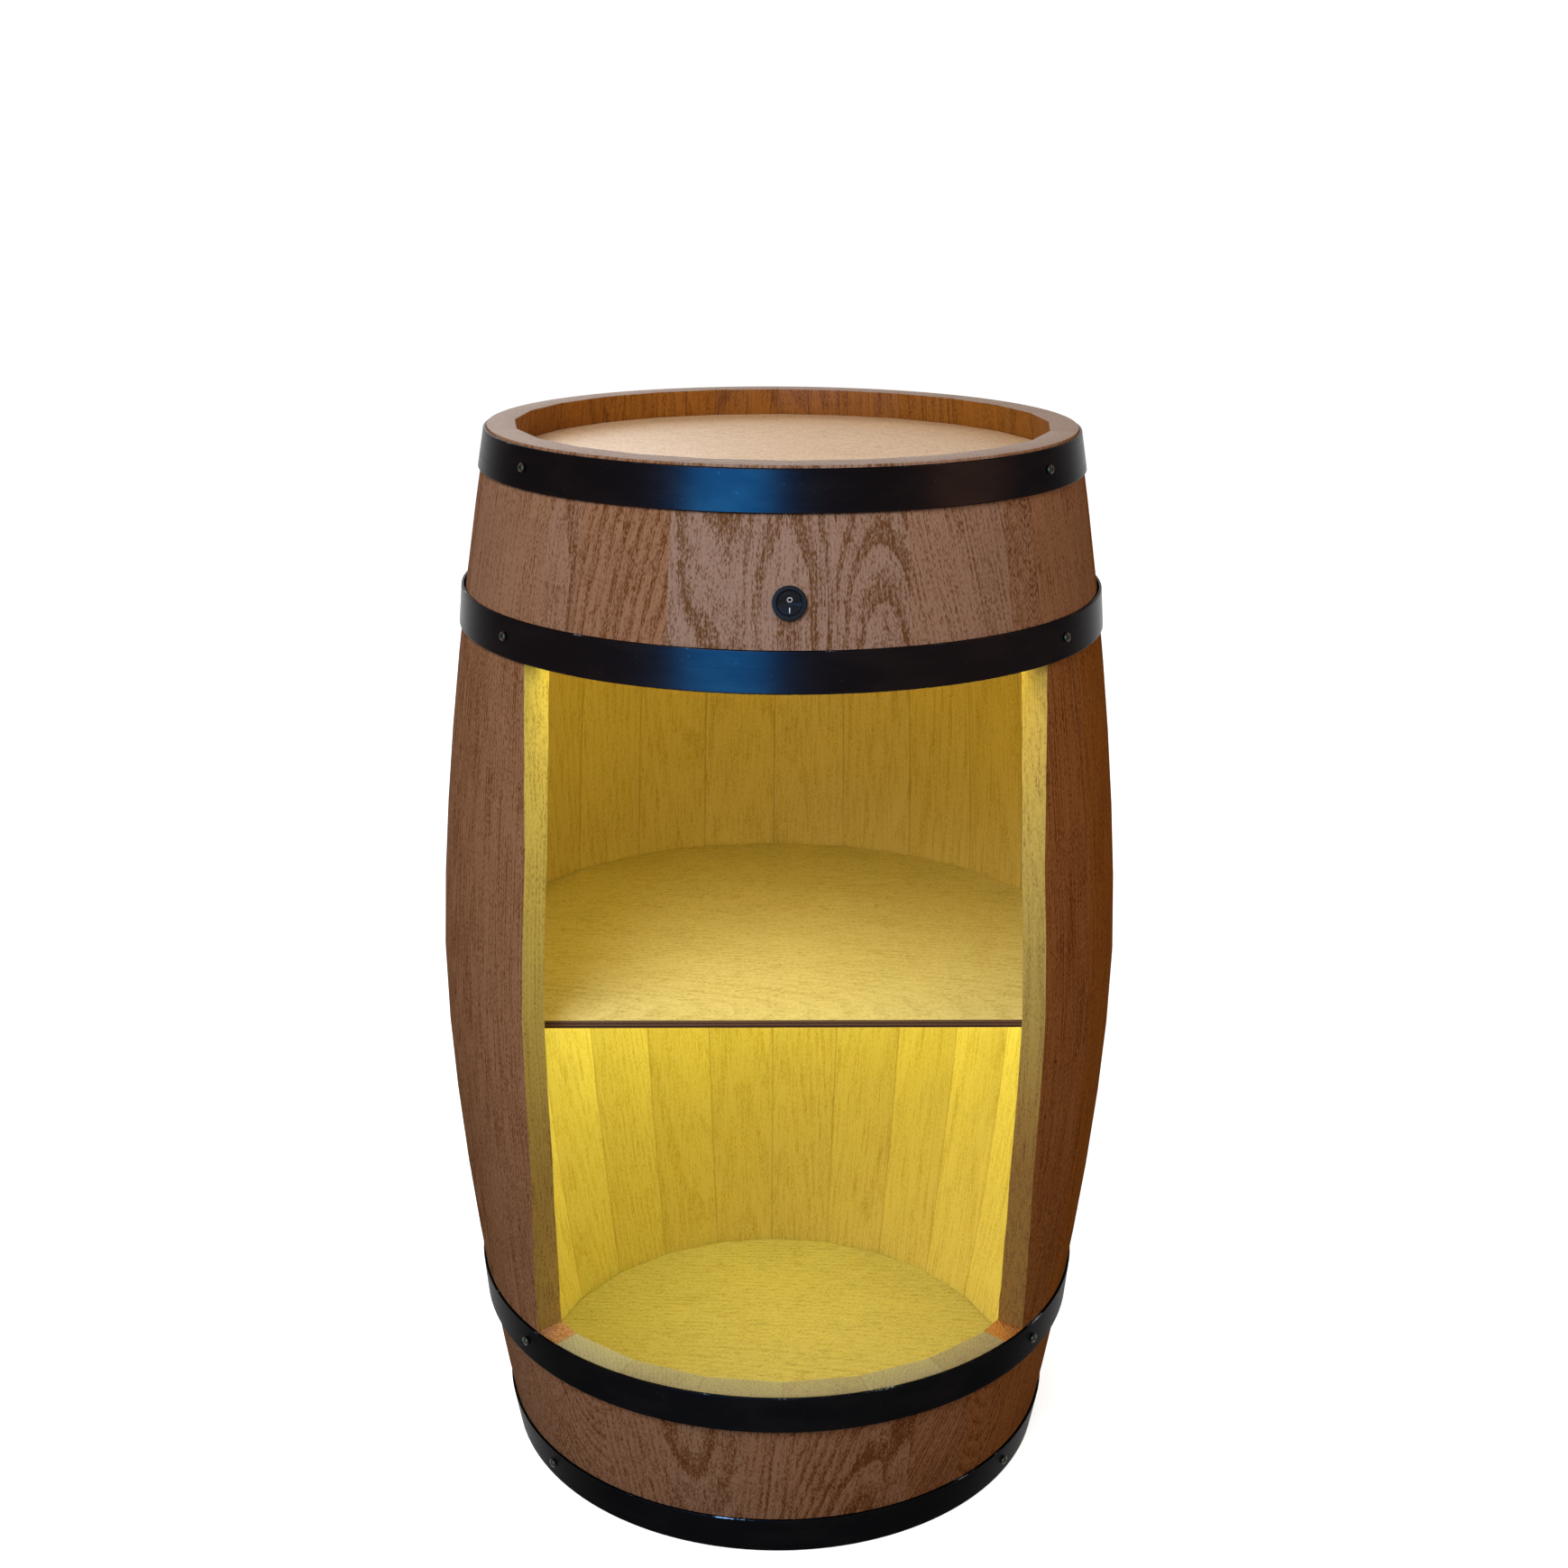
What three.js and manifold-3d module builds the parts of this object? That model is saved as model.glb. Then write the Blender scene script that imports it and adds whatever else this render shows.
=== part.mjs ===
// Barrel bar cabinet: coopered staves and steel hoops round a lit opening with a shelf, a recessed top and a switch.
// Millimetres, +Z up, front towards -Y. The origin is on the ground in the middle of the box round the cabinet.
// The pieces are placed from the barrel's axis, which stands in front of the origin because the opening
// takes away the front of the belly. An angle round the axis is 0 at the front and grows towards +X.
import * as THREE from "three";
import { mergeVertices } from "three/addons/utils/BufferGeometryUtils.js";
import Module from "manifold-3d";

const wasm = await Module();
wasm.setup();

// Barrel
const barrelHeight = 800;
const bellyHeight = 400;
const bellyRadius = 259.5;
const topRadius = 220;
const bottomRadius = 207.5;
const bulgePower = 1.64;

// Staves
const staveCount = 24;
const frontStaveCount = 6;
const staveThickness = 20;
const arcsPerStave = 3;
const staveLevels = 14;

// Opening: depths here and below are measured down from the rim
const openingBottom = 140;
const openingTopDepth = 143;
const openingHalfWidth = 180;

// Clearances
const fitGap = 0.3;
const jointGap = 0.3;
const cutOverrun = 5;

// Hoops: the two chime hoops hug the wood, and the quarter hoops stand off at their narrow edge
const hoopWidth = 28.7;
const hoopThickness = 1.8;
const chimeSetback = 2;
const footSetback = 1;
const upperQuarterHoopDepth = 118.6;
const lowerQuarterHoopBottom = 112;
const quarterHoopStandOff = 1.8;
const lapLength = 44;
const weldDepth = 0.1;

// Hoop screws
const screwAngle = 54;
const screwHeadRadius = 3.4;
const screwHeadHeight = 2.2;
const screwRadius = 1.5;
const screwLength = 16;
const screwTipLength = 3;

// Boards
const headThickness = 12;
const headShoulder = 3;
const headEdgeGap = 0.6;
const topBoardDepth = 21.5;
const floorTop = 23;
const crozeDepth = 5;
const shelfThickness = 6;
const shelfTop = 385;
const shelfFrontSetback = 147;
const leadNotchWidth = 14;
const leadNotchDepth = 8;

// Shelf pins
const pinRadius = 3;
const pinInWall = 10;
const pinProud = 12;
const pinAngles = [82.5, 142.5, 217.5, 277.5];

// Light strips
const stripThickness = 3;
const stripWidth = 9;
const stripMargin = 2;
const upperStripEnd = 42;
const lowerStripStart = 130;

// Switch, with its hinge in the plane of the bezel
const switchDepth = 88.3;
const bezelRadius = 11.5;
const bezelThickness = 2.3;
const bezelRound = 0.6;
const housingRadius = 9.8;
const housingDepth = 13;
const pocketRadius = 8.4;
const hingeHeight = 1;
const rockerRadius = 8.1;
const rockerFace = 0.6;
const rockerBack = 4;
const rockerFaceAngle = 10;
const rockerTilt = 10;
const nubRadius = 0.8;
const nubLength = 1;
const tabWidth = 4.8;
const tabThickness = 0.8;
const tabLength = 7.5;
const tabSpacing = 5.5;

// Power inlet
const inletAngle = 172.5;
const inletDepth = 88.3;
const inletFlangeRadius = 7;
const inletFlangeThickness = 2;
const inletRadius = 5.5;
const inletBoreRadius = 3;
const inletBoreDepth = 12;
const inletPinRadius = 1;
const inletNutRadius = 8;
const inletNutThickness = 3;
const inletTail = 2;

// Leads inside the barrel
const leadRadius = 1.8;
const leadSides = 8;
const leadWallGap = 0.5;
const leadBend = 8;
const inletLeadDepth = 52;
const stripLeadDepth = 62;
const stripLeadAngle = 247.5;

// Worked out from the sizes above
const degree = Math.PI / 180;
const fullAngle = 360;
const levelStep = barrelHeight / staveLevels;
const pitch = fullAngle / staveCount;
const frontHalfAngle = (frontStaveCount / 2) * pitch;
const shelfBottom = shelfTop - shelfThickness;
const wallArcs = staveCount * arcsPerStave;
const headTop = barrelHeight - topBoardDepth;
const openingTop = barrelHeight - openingTopDepth;
const switchHeight = barrelHeight - switchDepth;
const inletHeight = barrelHeight - inletDepth;
const inletLeadHeight = barrelHeight - inletLeadDepth;
const stripLeadHeight = barrelHeight - stripLeadDepth;
const pinHeight = shelfBottom - fitGap - pinRadius;
const upperStripBottom = openingTop + stripMargin;
const lowerStripBottom = pinHeight - pinRadius - stripMargin - stripWidth;
const switchHoleRadius = housingRadius + fitGap;

const wood = new THREE.MeshStandardMaterial({ color: 0x8a5f3f, roughness: 0.55, metalness: 0 });
const paleWood = new THREE.MeshStandardMaterial({ color: 0xcfa777, roughness: 0.6, metalness: 0 });
const blackSteel = new THREE.MeshStandardMaterial({ color: 0x15161a, roughness: 0.35, metalness: 0.6 });
const screwSteel = new THREE.MeshStandardMaterial({ color: 0x101114, roughness: 0.4, metalness: 0.7 });
const pinSteel = new THREE.MeshStandardMaterial({ color: 0xb9bbbd, roughness: 0.35, metalness: 1 });
const stripSilicone = new THREE.MeshStandardMaterial({ color: 0xfff2b0, roughness: 0.5, metalness: 0 });
const blackPlastic = new THREE.MeshStandardMaterial({ color: 0x0c0c0e, roughness: 0.3, metalness: 0 });
const leadSheath = new THREE.MeshStandardMaterial({ color: 0x1a1a1a, roughness: 0.6, metalness: 0 });

const cabinet = new THREE.Group();
const barrel = new THREE.Group();
cabinet.add(barrel);

// Profile of the barrel

/** Radius of the turned outside at a height. */
function turnedRadius(z) {
  const isAbove = z > bellyHeight;
  const reach = isAbove ? barrelHeight - bellyHeight : bellyHeight;
  const drop = bellyRadius - (isAbove ? topRadius : bottomRadius);
  return bellyRadius - drop * Math.pow(Math.abs(z - bellyHeight) / reach, bulgePower);
}

/** How fast the outside radius grows with height, on the straight stretch that holds a height. */
function outerSlope(z) {
  const low = Math.floor(z / levelStep) * levelStep;
  return (turnedRadius(low + levelStep) - turnedRadius(low)) / levelStep;
}

/** Radius of the outside at a height, straight from one level to the next. */
function outerRadius(z) {
  const low = Math.floor(z / levelStep) * levelStep;
  return turnedRadius(low) + outerSlope(z) * (z - low);
}

/** Radius of the corners between the flat inside faces of two staves. */
function innerRadius(z) {
  return outerRadius(z) - staveThickness;
}

/** Distance from the axis to the middle of a flat inside face. */
function facetDistance(z) {
  return innerRadius(z) * Math.cos((pitch / 2) * degree);
}

/** Point at a radius, an angle and a height. */
function polar(radius, angle, z) {
  return new THREE.Vector3(radius * Math.sin(angle * degree), -radius * Math.cos(angle * degree), z);
}

/** Point a given distance inside the flat inside face that lies at an angle. */
function facetPoint(angle, z, inset) {
  const facetMiddle = (Math.floor(angle / pitch) + 0.5) * pitch;
  const radius = (facetDistance(z) - inset) / Math.cos((angle - facetMiddle) * degree);
  return polar(radius, angle, z);
}

/** Frame on the outside of the barrel: X along the hoop direction, Y up the stave, Z straight out. */
function surfaceFrame(angle, z) {
  const lean = Math.atan(-outerSlope(z));
  const across = polar(1, angle + 90, 0);
  const out = polar(Math.cos(lean), angle, Math.sin(lean));
  const up = new THREE.Vector3().crossVectors(out, across);
  return new THREE.Matrix4().makeBasis(across, up, out).setPosition(polar(outerRadius(z), angle, z));
}

// Making solids

/** Closed body through rings of points, each ring anticlockwise as seen from the end of the loft. */
function lofted(rings) {
  const count = rings[0].length;
  const last = (rings.length - 1) * count;
  const indices = [];
  for (let level = 1; level < rings.length; level++) {
    const low = (level - 1) * count;
    const high = level * count;
    for (let i = 0; i < count; i++) {
      const next = (i + 1) % count;
      indices.push(low + i, low + next, high + next);
      indices.push(low + i, high + next, high + i);
    }
  }
  for (let i = 2; i < count; i++) {
    indices.push(0, i, i - 1);
    indices.push(last, last + i - 1, last + i);
  }
  const geometry = new THREE.BufferGeometry();
  const positions = rings.flat().flatMap((point) => point.toArray());
  geometry.setAttribute("position", new THREE.Float32BufferAttribute(positions, 3));
  geometry.setIndex(indices);
  return geometry;
}

/** Solid turned round Z from a profile of [radius, height] pairs. */
function turned(profile, segments) {
  const points = profile.map(([radius, height]) => new THREE.Vector2(radius, height));
  return new THREE.LatheGeometry(points, segments).rotateX(90 * degree);
}

/** Ring of rectangular section round the barrel's axis. */
function turnedRing(inner, outer, bottom, top) {
  const profile = [
    [inner, bottom],
    [outer, bottom],
    [outer, top],
    [inner, top],
    [inner, bottom],
  ];
  return turned(profile, wallArcs);
}

/** Upright round disc or post standing between two heights. */
function upright(radius, bottom, top, segments) {
  const height = top - bottom;
  const geometry = new THREE.CylinderGeometry(radius, radius, height, segments);
  return geometry.rotateX(90 * degree).translate(0, 0, bottom + height / 2);
}

/** Geometry as a solid for joins and cuts. */
function solidOf(geometry) {
  const bare = geometry.index ? geometry.toNonIndexed() : geometry.clone();
  bare.deleteAttribute("normal");
  bare.deleteAttribute("uv");
  const merged = mergeVertices(bare);
  const mesh = new wasm.Mesh({
    numProp: 3,
    vertProperties: merged.attributes.position.array,
    triVerts: new Uint32Array(merged.index.array),
  });
  return new wasm.Manifold(mesh);
}

/** Geometry of a solid. */
function geometryOf(solid) {
  const mesh = solid.getMesh();
  const geometry = new THREE.BufferGeometry();
  geometry.setAttribute("position", new THREE.BufferAttribute(mesh.vertProperties, 3));
  geometry.setIndex(new THREE.BufferAttribute(mesh.triVerts, 1));
  return geometry;
}

/** Geometry with each tool cut out of it. */
function cut(geometry, tools) {
  let solid = solidOf(geometry);
  for (const tool of tools) solid = solid.subtract(solidOf(tool));
  return geometryOf(solid);
}

/** Geometry with each of the others joined to it. */
function joined(geometry, others) {
  let solid = solidOf(geometry);
  for (const other of others) solid = solid.add(solidOf(other));
  return geometryOf(solid);
}

/** Named mesh of one piece, placed in a group. */
function piece(name, geometry, material, parent = barrel) {
  if (!geometry.attributes.normal) geometry.computeVertexNormals();
  const mesh = new THREE.Mesh(geometry, material);
  mesh.name = name;
  parent.add(mesh);
  return mesh;
}

/** Group that stands on the outside of the barrel at an angle and a height. */
function surfaceGroup(angle, z) {
  const group = new THREE.Group();
  surfaceFrame(angle, z).decompose(group.position, group.quaternion, group.scale);
  barrel.add(group);
  return group;
}

// Hoops

const hoops = [
  {
    name: "top_chime",
    bottom: barrelHeight - chimeSetback - hoopWidth,
    lowStandOff: fitGap,
    highStandOff: fitGap,
  },
  {
    name: "upper_quarter",
    bottom: barrelHeight - upperQuarterHoopDepth - hoopWidth,
    lowStandOff: fitGap,
    highStandOff: quarterHoopStandOff,
  },
  {
    name: "lower_quarter",
    bottom: lowerQuarterHoopBottom,
    lowStandOff: quarterHoopStandOff,
    highStandOff: fitGap,
  },
  {
    name: "bottom_chime",
    bottom: footSetback,
    lowStandOff: fitGap,
    highStandOff: fitGap,
  },
];

/** Inside radius of a hoop at its bottom and top edge. */
function hoopRadii(hoop) {
  const low = outerRadius(hoop.bottom) + hoop.lowStandOff;
  const high = outerRadius(hoop.bottom + hoopWidth) + hoop.highStandOff;
  return { low, high };
}

/** How far the widest hoop reaches from the axis. */
function hoopReach() {
  return Math.max(...hoops.map((hoop) => Math.max(...Object.values(hoopRadii(hoop))))) + hoopThickness;
}

/** Strip of steel that follows the hoop between two offsets from its inside, over a range of angles. */
function hoopBand(hoop, from, to, startAngle, endAngle) {
  const { low, high } = hoopRadii(hoop);
  const top = hoop.bottom + hoopWidth;
  const step = pitch / arcsPerStave;
  const rings = [];
  for (let angle = startAngle; angle <= endAngle; angle += step) {
    rings.push([
      polar(low + from, angle, hoop.bottom),
      polar(high + from, angle, top),
      polar(high + to, angle, top),
      polar(low + to, angle, hoop.bottom),
    ]);
  }
  return lofted(rings);
}

/** Height of the hoop's outer face above the wood at mid width. */
function hoopOuterHeight(hoop) {
  return (hoop.lowStandOff + hoop.highStandOff) / 2 + hoopThickness;
}

/** Post along the surface normal at an angle and a height, for holes. */
function surfacePost(angle, z, radius, bottom, top, segments) {
  return upright(radius, bottom, top, segments).applyMatrix4(surfaceFrame(angle, z));
}

function hoopScrewAngles() {
  return { right: screwAngle, left: fullAngle - screwAngle };
}

function makeHoop(hoop) {
  const { low, high } = hoopRadii(hoop);
  const top = hoop.bottom + hoopWidth;
  const profile = [
    [low, hoop.bottom],
    [low + hoopThickness, hoop.bottom],
    [high + hoopThickness, top],
    [high, top],
    [low, hoop.bottom],
  ];
  const step = pitch / arcsPerStave;
  const lapAngle = lapLength / outerRadius(hoop.bottom) / degree;
  const lapArcs = Math.max(1, Math.round(lapAngle / step));
  const lapStart = 180 - Math.floor(lapArcs / 2) * step;
  const lap = hoopBand(
    hoop,
    hoopThickness - weldDepth,
    2 * hoopThickness,
    lapStart,
    lapStart + lapArcs * step,
  );
  const ring = joined(turned(profile, wallArcs), [lap]);
  const middle = hoop.bottom + hoopWidth / 2;
  const holes = Object.values(hoopScrewAngles()).map((angle) =>
    surfacePost(angle, middle, screwRadius + fitGap, -cutOverrun, cutOverrun + hoopThickness, 10),
  );
  piece("hoop_" + hoop.name, cut(ring, holes), blackSteel);
}

/** Pan-head screw with its head seated on the hoop. */
function makeScrew(hoop, side, angle) {
  const group = surfaceGroup(angle, hoop.bottom + hoopWidth / 2);
  const seat = hoopOuterHeight(hoop) + fitGap;
  const domeSteps = 3;
  const profile = [
    [0, seat - screwLength],
    [screwRadius, seat - screwLength + screwTipLength],
    [screwRadius, seat],
  ];
  for (let i = 0; i <= domeSteps; i++) {
    const turn = (i / domeSteps) * 90 * degree;
    const radius = i < domeSteps ? screwHeadRadius * Math.cos(turn) : 0;
    profile.push([radius, seat + screwHeadHeight * Math.sin(turn)]);
  }
  piece("screw_" + hoop.name + "_" + side, turned(profile, 10), screwSteel, group);
}

// Staves

/** Heights of the ends of a stretch of stave and of the levels between them. */
function heightsBetween(bottom, top) {
  const heights = [bottom];
  for (let level = 1; level < staveLevels; level++) {
    const z = level * levelStep;
    if (z > bottom && z < top) heights.push(z);
  }
  return [...heights, top];
}

/** One stave from an angle on, between two heights, before its grooves and holes. */
function staveBlank(startAngle, bottom, top) {
  const rings = [];
  for (const z of heightsBetween(bottom, top)) {
    const ring = [];
    for (let arc = 0; arc <= arcsPerStave; arc++) {
      ring.push(polar(outerRadius(z), startAngle + (pitch * arc) / arcsPerStave, z));
    }
    ring.push(polar(innerRadius(z), startAngle + pitch, z));
    ring.push(polar(innerRadius(z), startAngle, z));
    const sides = [0, arcsPerStave, arcsPerStave + 1, arcsPerStave + 2];
    sides.forEach((index, place) => {
      const isStart = place === 0 || place === sides.length - 1;
      const sideAngle = isStart ? startAngle : startAngle + pitch;
      ring[index].addScaledVector(polar(1, sideAngle + 90, 0), ((isStart ? 1 : -1) * jointGap) / 2);
    });
    rings.push(ring);
  }
  return lofted(rings);
}

/** Heights between which the edge of a head board is held, for the height of its top. */
function tongueSpan(boardTop) {
  return { bottom: boardTop - headThickness + headShoulder, top: boardTop - headShoulder };
}

/** Groove for the edge of a head board, for the height of the board's top. */
function croze(boardTop) {
  const { bottom, top } = tongueSpan(boardTop);
  const radius = innerRadius((bottom + top) / 2) + crozeDepth;
  return turnedRing(radius - crozeDepth * 3, radius, bottom - fitGap, top + fitGap);
}

/** The opening as it is sawn: straight up and down on the outside, and square into the wood. */
function openingTool() {
  const rings = [];
  for (const z of heightsBetween(openingBottom, openingTop)) {
    const sawAngle = Math.asin(openingHalfWidth / outerRadius(z)) / degree;
    const half = Math.max(frontHalfAngle, sawAngle);
    const far = bellyRadius + cutOverrun;
    const near = far / 2;
    rings.push([
      polar(near, -half, z),
      polar(far, -half, z),
      polar(far, 0, z),
      polar(far, half, z),
      polar(near, half, z),
    ]);
  }
  return lofted(rings);
}

/** Whether an angle lies within a stave. */
function holds(startAngle, angle) {
  return angle > startAngle && angle < startAngle + pitch;
}

/** Holes for the pieces that are fixed into one tall stave. */
function tallStaveHoles(startAngle) {
  const holes = [];
  for (const angle of Object.values(hoopScrewAngles())) {
    if (!holds(startAngle, angle)) continue;
    for (const hoop of hoops) {
      const depth = screwLength - hoopOuterHeight(hoop);
      const middle = hoop.bottom + hoopWidth / 2;
      holes.push(surfacePost(angle, middle, screwRadius + fitGap, -depth, cutOverrun, 10));
    }
  }
  for (const angle of pinAngles) {
    if (!holds(startAngle, angle)) continue;
    const hole = upright(pinRadius + fitGap, -cutOverrun, pinInWall + fitGap, 12);
    holes.push(hole.applyMatrix4(pinFrame(angle)));
  }
  if (holds(startAngle, inletAngle)) {
    const through = staveThickness + cutOverrun;
    const radius = inletRadius + fitGap;
    holes.push(surfacePost(inletAngle, inletHeight, radius, -through, cutOverrun, 16));
  }
  return holes;
}

function makeTallStaves() {
  const crozes = [croze(floorTop), croze(headTop)];
  const tallCount = staveCount - frontStaveCount;
  for (let i = 0; i < tallCount; i++) {
    const startAngle = frontHalfAngle + i * pitch;
    const tools = [...crozes, ...tallStaveHoles(startAngle)];
    if (i === 0 || i === tallCount - 1) tools.push(openingTool());
    const blank = staveBlank(startAngle, 0, barrelHeight);
    piece("stave_" + String(i + 1).padStart(2, "0"), cut(blank, tools), wood);
  }
}

function makeFrontStaves() {
  const lowCroze = croze(floorTop);
  const highCroze = croze(headTop);
  const through = staveThickness + cutOverrun;
  const switchHole = surfacePost(0, switchHeight, switchHoleRadius, -through, cutOverrun, 24);
  for (let i = 0; i < frontStaveCount; i++) {
    const startAngle = i * pitch - frontHalfAngle;
    const lower = staveBlank(startAngle, 0, openingBottom);
    const upper = staveBlank(startAngle, openingTop, barrelHeight);
    piece("front_stave_lower_" + (i + 1), cut(lower, [lowCroze]), wood);
    piece("front_stave_upper_" + (i + 1), cut(upper, [highCroze, switchHole]), wood);
  }
}

// Boards

/** Board with its edge in a croze and its faces just inside the staves, its top at a height. */
function makeHeadBoard(name, top, material) {
  const bottom = top - headThickness;
  const tongue = tongueSpan(top);
  const radius = innerRadius((tongue.bottom + tongue.top) / 2) + crozeDepth - fitGap;
  const faceRadius = Math.min(innerRadius(bottom), innerRadius(top)) - headEdgeGap;
  const edge = upright(radius, tongue.bottom, tongue.top, wallArcs);
  const faces = upright(faceRadius, bottom, top, staveCount);
  piece(name, joined(edge, [faces]), material);
}

function makeShelf() {
  const radius = facetDistance(shelfBottom) - fitGap;
  const frontTurn = Math.asin(shelfFrontSetback / radius);
  const outline = new THREE.Shape();
  outline.absarc(0, 0, radius, -frontTurn, Math.PI + frontTurn, false);
  outline.closePath();
  const settings = { depth: shelfThickness, bevelEnabled: false, curveSegments: wallArcs / 2 };
  const board = new THREE.ExtrudeGeometry(outline, settings).translate(0, 0, shelfBottom);
  const notch = new THREE.BoxGeometry(leadNotchWidth, 2 * leadNotchDepth, 3 * shelfThickness);
  notch.translate(0, -radius, shelfBottom);
  notch.rotateZ(stripLeadAngle * degree);
  piece("middle_shelf", cut(board, [notch]), paleWood);
}

/** Frame in the inside face of a stave under the shelf: Z points into the wood. */
function pinFrame(angle) {
  const into = polar(1, angle, 0);
  const across = polar(1, angle + 90, 0);
  const up = new THREE.Vector3().crossVectors(into, across);
  const seat = polar(facetDistance(pinHeight), angle, pinHeight);
  return new THREE.Matrix4().makeBasis(across, up, into).setPosition(seat);
}

function makePins() {
  pinAngles.forEach((angle, i) => {
    const pin = upright(pinRadius, -pinProud, pinInWall, 12);
    piece("shelf_pin_" + (i + 1), pin.applyMatrix4(pinFrame(angle)), pinSteel);
  });
}

// Light strips

/** Strip stuck to the flat inside faces between two angles. */
function makeStrip(name, startAngle, endAngle, bottom) {
  const top = bottom + stripWidth;
  const angles = [startAngle];
  for (let corner = Math.ceil(startAngle / pitch) * pitch; corner < endAngle; corner += pitch) {
    if (corner > startAngle) angles.push(corner);
  }
  angles.push(endAngle);
  const rings = angles.map((angle) => [
    facetPoint(angle, bottom, fitGap + stripThickness),
    facetPoint(angle, top, fitGap + stripThickness),
    facetPoint(angle, top, fitGap),
    facetPoint(angle, bottom, fitGap),
  ]);
  piece(name, lofted(rings), stripSilicone);
}

// Switch

function makeSwitch() {
  const group = surfaceGroup(0, switchHeight);
  const front = fitGap + bezelThickness;
  const backReach = Math.sqrt(rockerRadius * rockerRadius - rockerBack * rockerBack);
  const tilt = rockerTilt * degree;
  const sweep = rockerBack * Math.cos(tilt) + backReach * Math.sin(tilt);
  const pocketBottom = hingeHeight - sweep - 2 * fitGap;
  const shell = turned(
    [
      [0, -housingDepth],
      [housingRadius, -housingDepth],
      [housingRadius, fitGap],
      [bezelRadius, fitGap],
      [bezelRadius, front - bezelRound],
      [bezelRadius - bezelRound, front],
      [pocketRadius, front],
      [pocketRadius, pocketBottom],
      [0, pocketBottom],
    ],
    32,
  );
  const tabs = [-tabSpacing, 0, tabSpacing].map((rise) => {
    const tab = new THREE.BoxGeometry(tabWidth, tabThickness, tabLength + weldDepth);
    return tab.translate(0, rise, weldDepth - housingDepth - tabLength / 2);
  });
  const nubReach = rockerRadius + nubLength;
  const socketReach = nubReach + fitGap;
  const socket = upright(nubRadius + fitGap, -socketReach, socketReach, 12).rotateY(90 * degree);
  socket.translate(0, 0, hingeHeight);
  piece("switch_housing", cut(joined(shell, tabs), [socket]), blackPlastic, group);

  const rise = rockerRadius * Math.tan(rockerFaceAngle * degree);
  const outline = new THREE.Shape();
  outline.moveTo(-rockerRadius, -rockerBack);
  outline.lineTo(rockerRadius, -rockerBack);
  outline.lineTo(rockerRadius, rockerFace + rise);
  outline.lineTo(0, rockerFace);
  outline.lineTo(-rockerRadius, rockerFace + rise);
  const settings = { depth: 2 * rockerRadius, bevelEnabled: false };
  const block = new THREE.ExtrudeGeometry(outline, settings).translate(0, 0, -rockerRadius);
  const sideways = new THREE.Matrix4().makeBasis(
    new THREE.Vector3(0, 1, 0),
    new THREE.Vector3(0, 0, 1),
    new THREE.Vector3(1, 0, 0),
  );
  block.applyMatrix4(sideways);
  const ball = new THREE.SphereGeometry(rockerRadius, 24, 12);
  const nubs = upright(nubRadius, -nubReach, nubReach, 12).rotateY(90 * degree);
  const cap = solidOf(ball).intersect(solidOf(block)).add(solidOf(nubs));
  const rocker = piece("switch_rocker", geometryOf(cap), blackPlastic, group);
  rocker.position.z = hingeHeight;
  rocker.rotation.x = tilt;
}

// Power inlet

/** Thickness of a stave at its middle, measured straight through the wood. */
function wallThrough(z) {
  const lean = Math.atan(-outerSlope(z));
  return (outerRadius(z) - facetDistance(z)) * Math.cos(lean);
}

function inletLength() {
  return wallThrough(inletHeight) + fitGap + inletNutThickness + inletTail;
}

function makeInlet() {
  const group = surfaceGroup(inletAngle, inletHeight);
  const front = fitGap + inletFlangeThickness;
  const back = -inletLength();
  const profile = [
    [0, back],
    [inletRadius, back],
    [inletRadius, fitGap],
    [inletFlangeRadius, fitGap],
    [inletFlangeRadius, front],
    [inletBoreRadius, front],
    [inletBoreRadius, front - inletBoreDepth],
    [inletPinRadius, front - inletBoreDepth],
    [inletPinRadius, 0],
    [0, 0],
  ];
  piece("power_inlet", turned(profile, 20), blackPlastic, group);

  const nutTop = -wallThrough(inletHeight) - fitGap;
  const nut = upright(inletNutRadius, nutTop - inletNutThickness, nutTop, 6);
  const bore = upright(inletRadius + fitGap, back, 0, 20);
  piece("inlet_nut", cut(nut, [bore]), pinSteel, group);
}

// Leads

/** Round lead along a smooth route. */
function makeLead(name, route, steps) {
  const section = new THREE.Shape();
  section.absarc(0, 0, leadRadius, 0, 2 * Math.PI, false);
  const path = new THREE.CatmullRomCurve3(route);
  const settings = { steps, extrudePath: path, bevelEnabled: false, curveSegments: leadSides / 2 };
  piece(name, new THREE.ExtrudeGeometry(section, settings), leadSheath);
}

/** Points on a circle that just clears the inside faces at one height, about half a stave apart. */
function alongWall(fromAngle, toAngle, z) {
  const radius = facetDistance(z) - leadWallGap - leadRadius;
  const count = Math.round(Math.abs(toAngle - fromAngle) / (pitch / 2));
  const points = [];
  for (let i = 0; i <= count; i++) {
    points.push(polar(radius, fromAngle + ((toAngle - fromAngle) * i) / count, z));
  }
  return points;
}

/** Point at a distance behind the end of the switch tab at a rise from the middle. */
function behindTab(rise, distance) {
  const depth = housingDepth + tabLength + fitGap + distance;
  return new THREE.Vector3(0, rise, -depth).applyMatrix4(surfaceFrame(0, switchHeight));
}

/** Point behind the inlet. */
function behindInlet(distance) {
  const depth = inletLength() + fitGap + distance;
  return new THREE.Vector3(0, 0, -depth).applyMatrix4(surfaceFrame(inletAngle, inletHeight));
}

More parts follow.
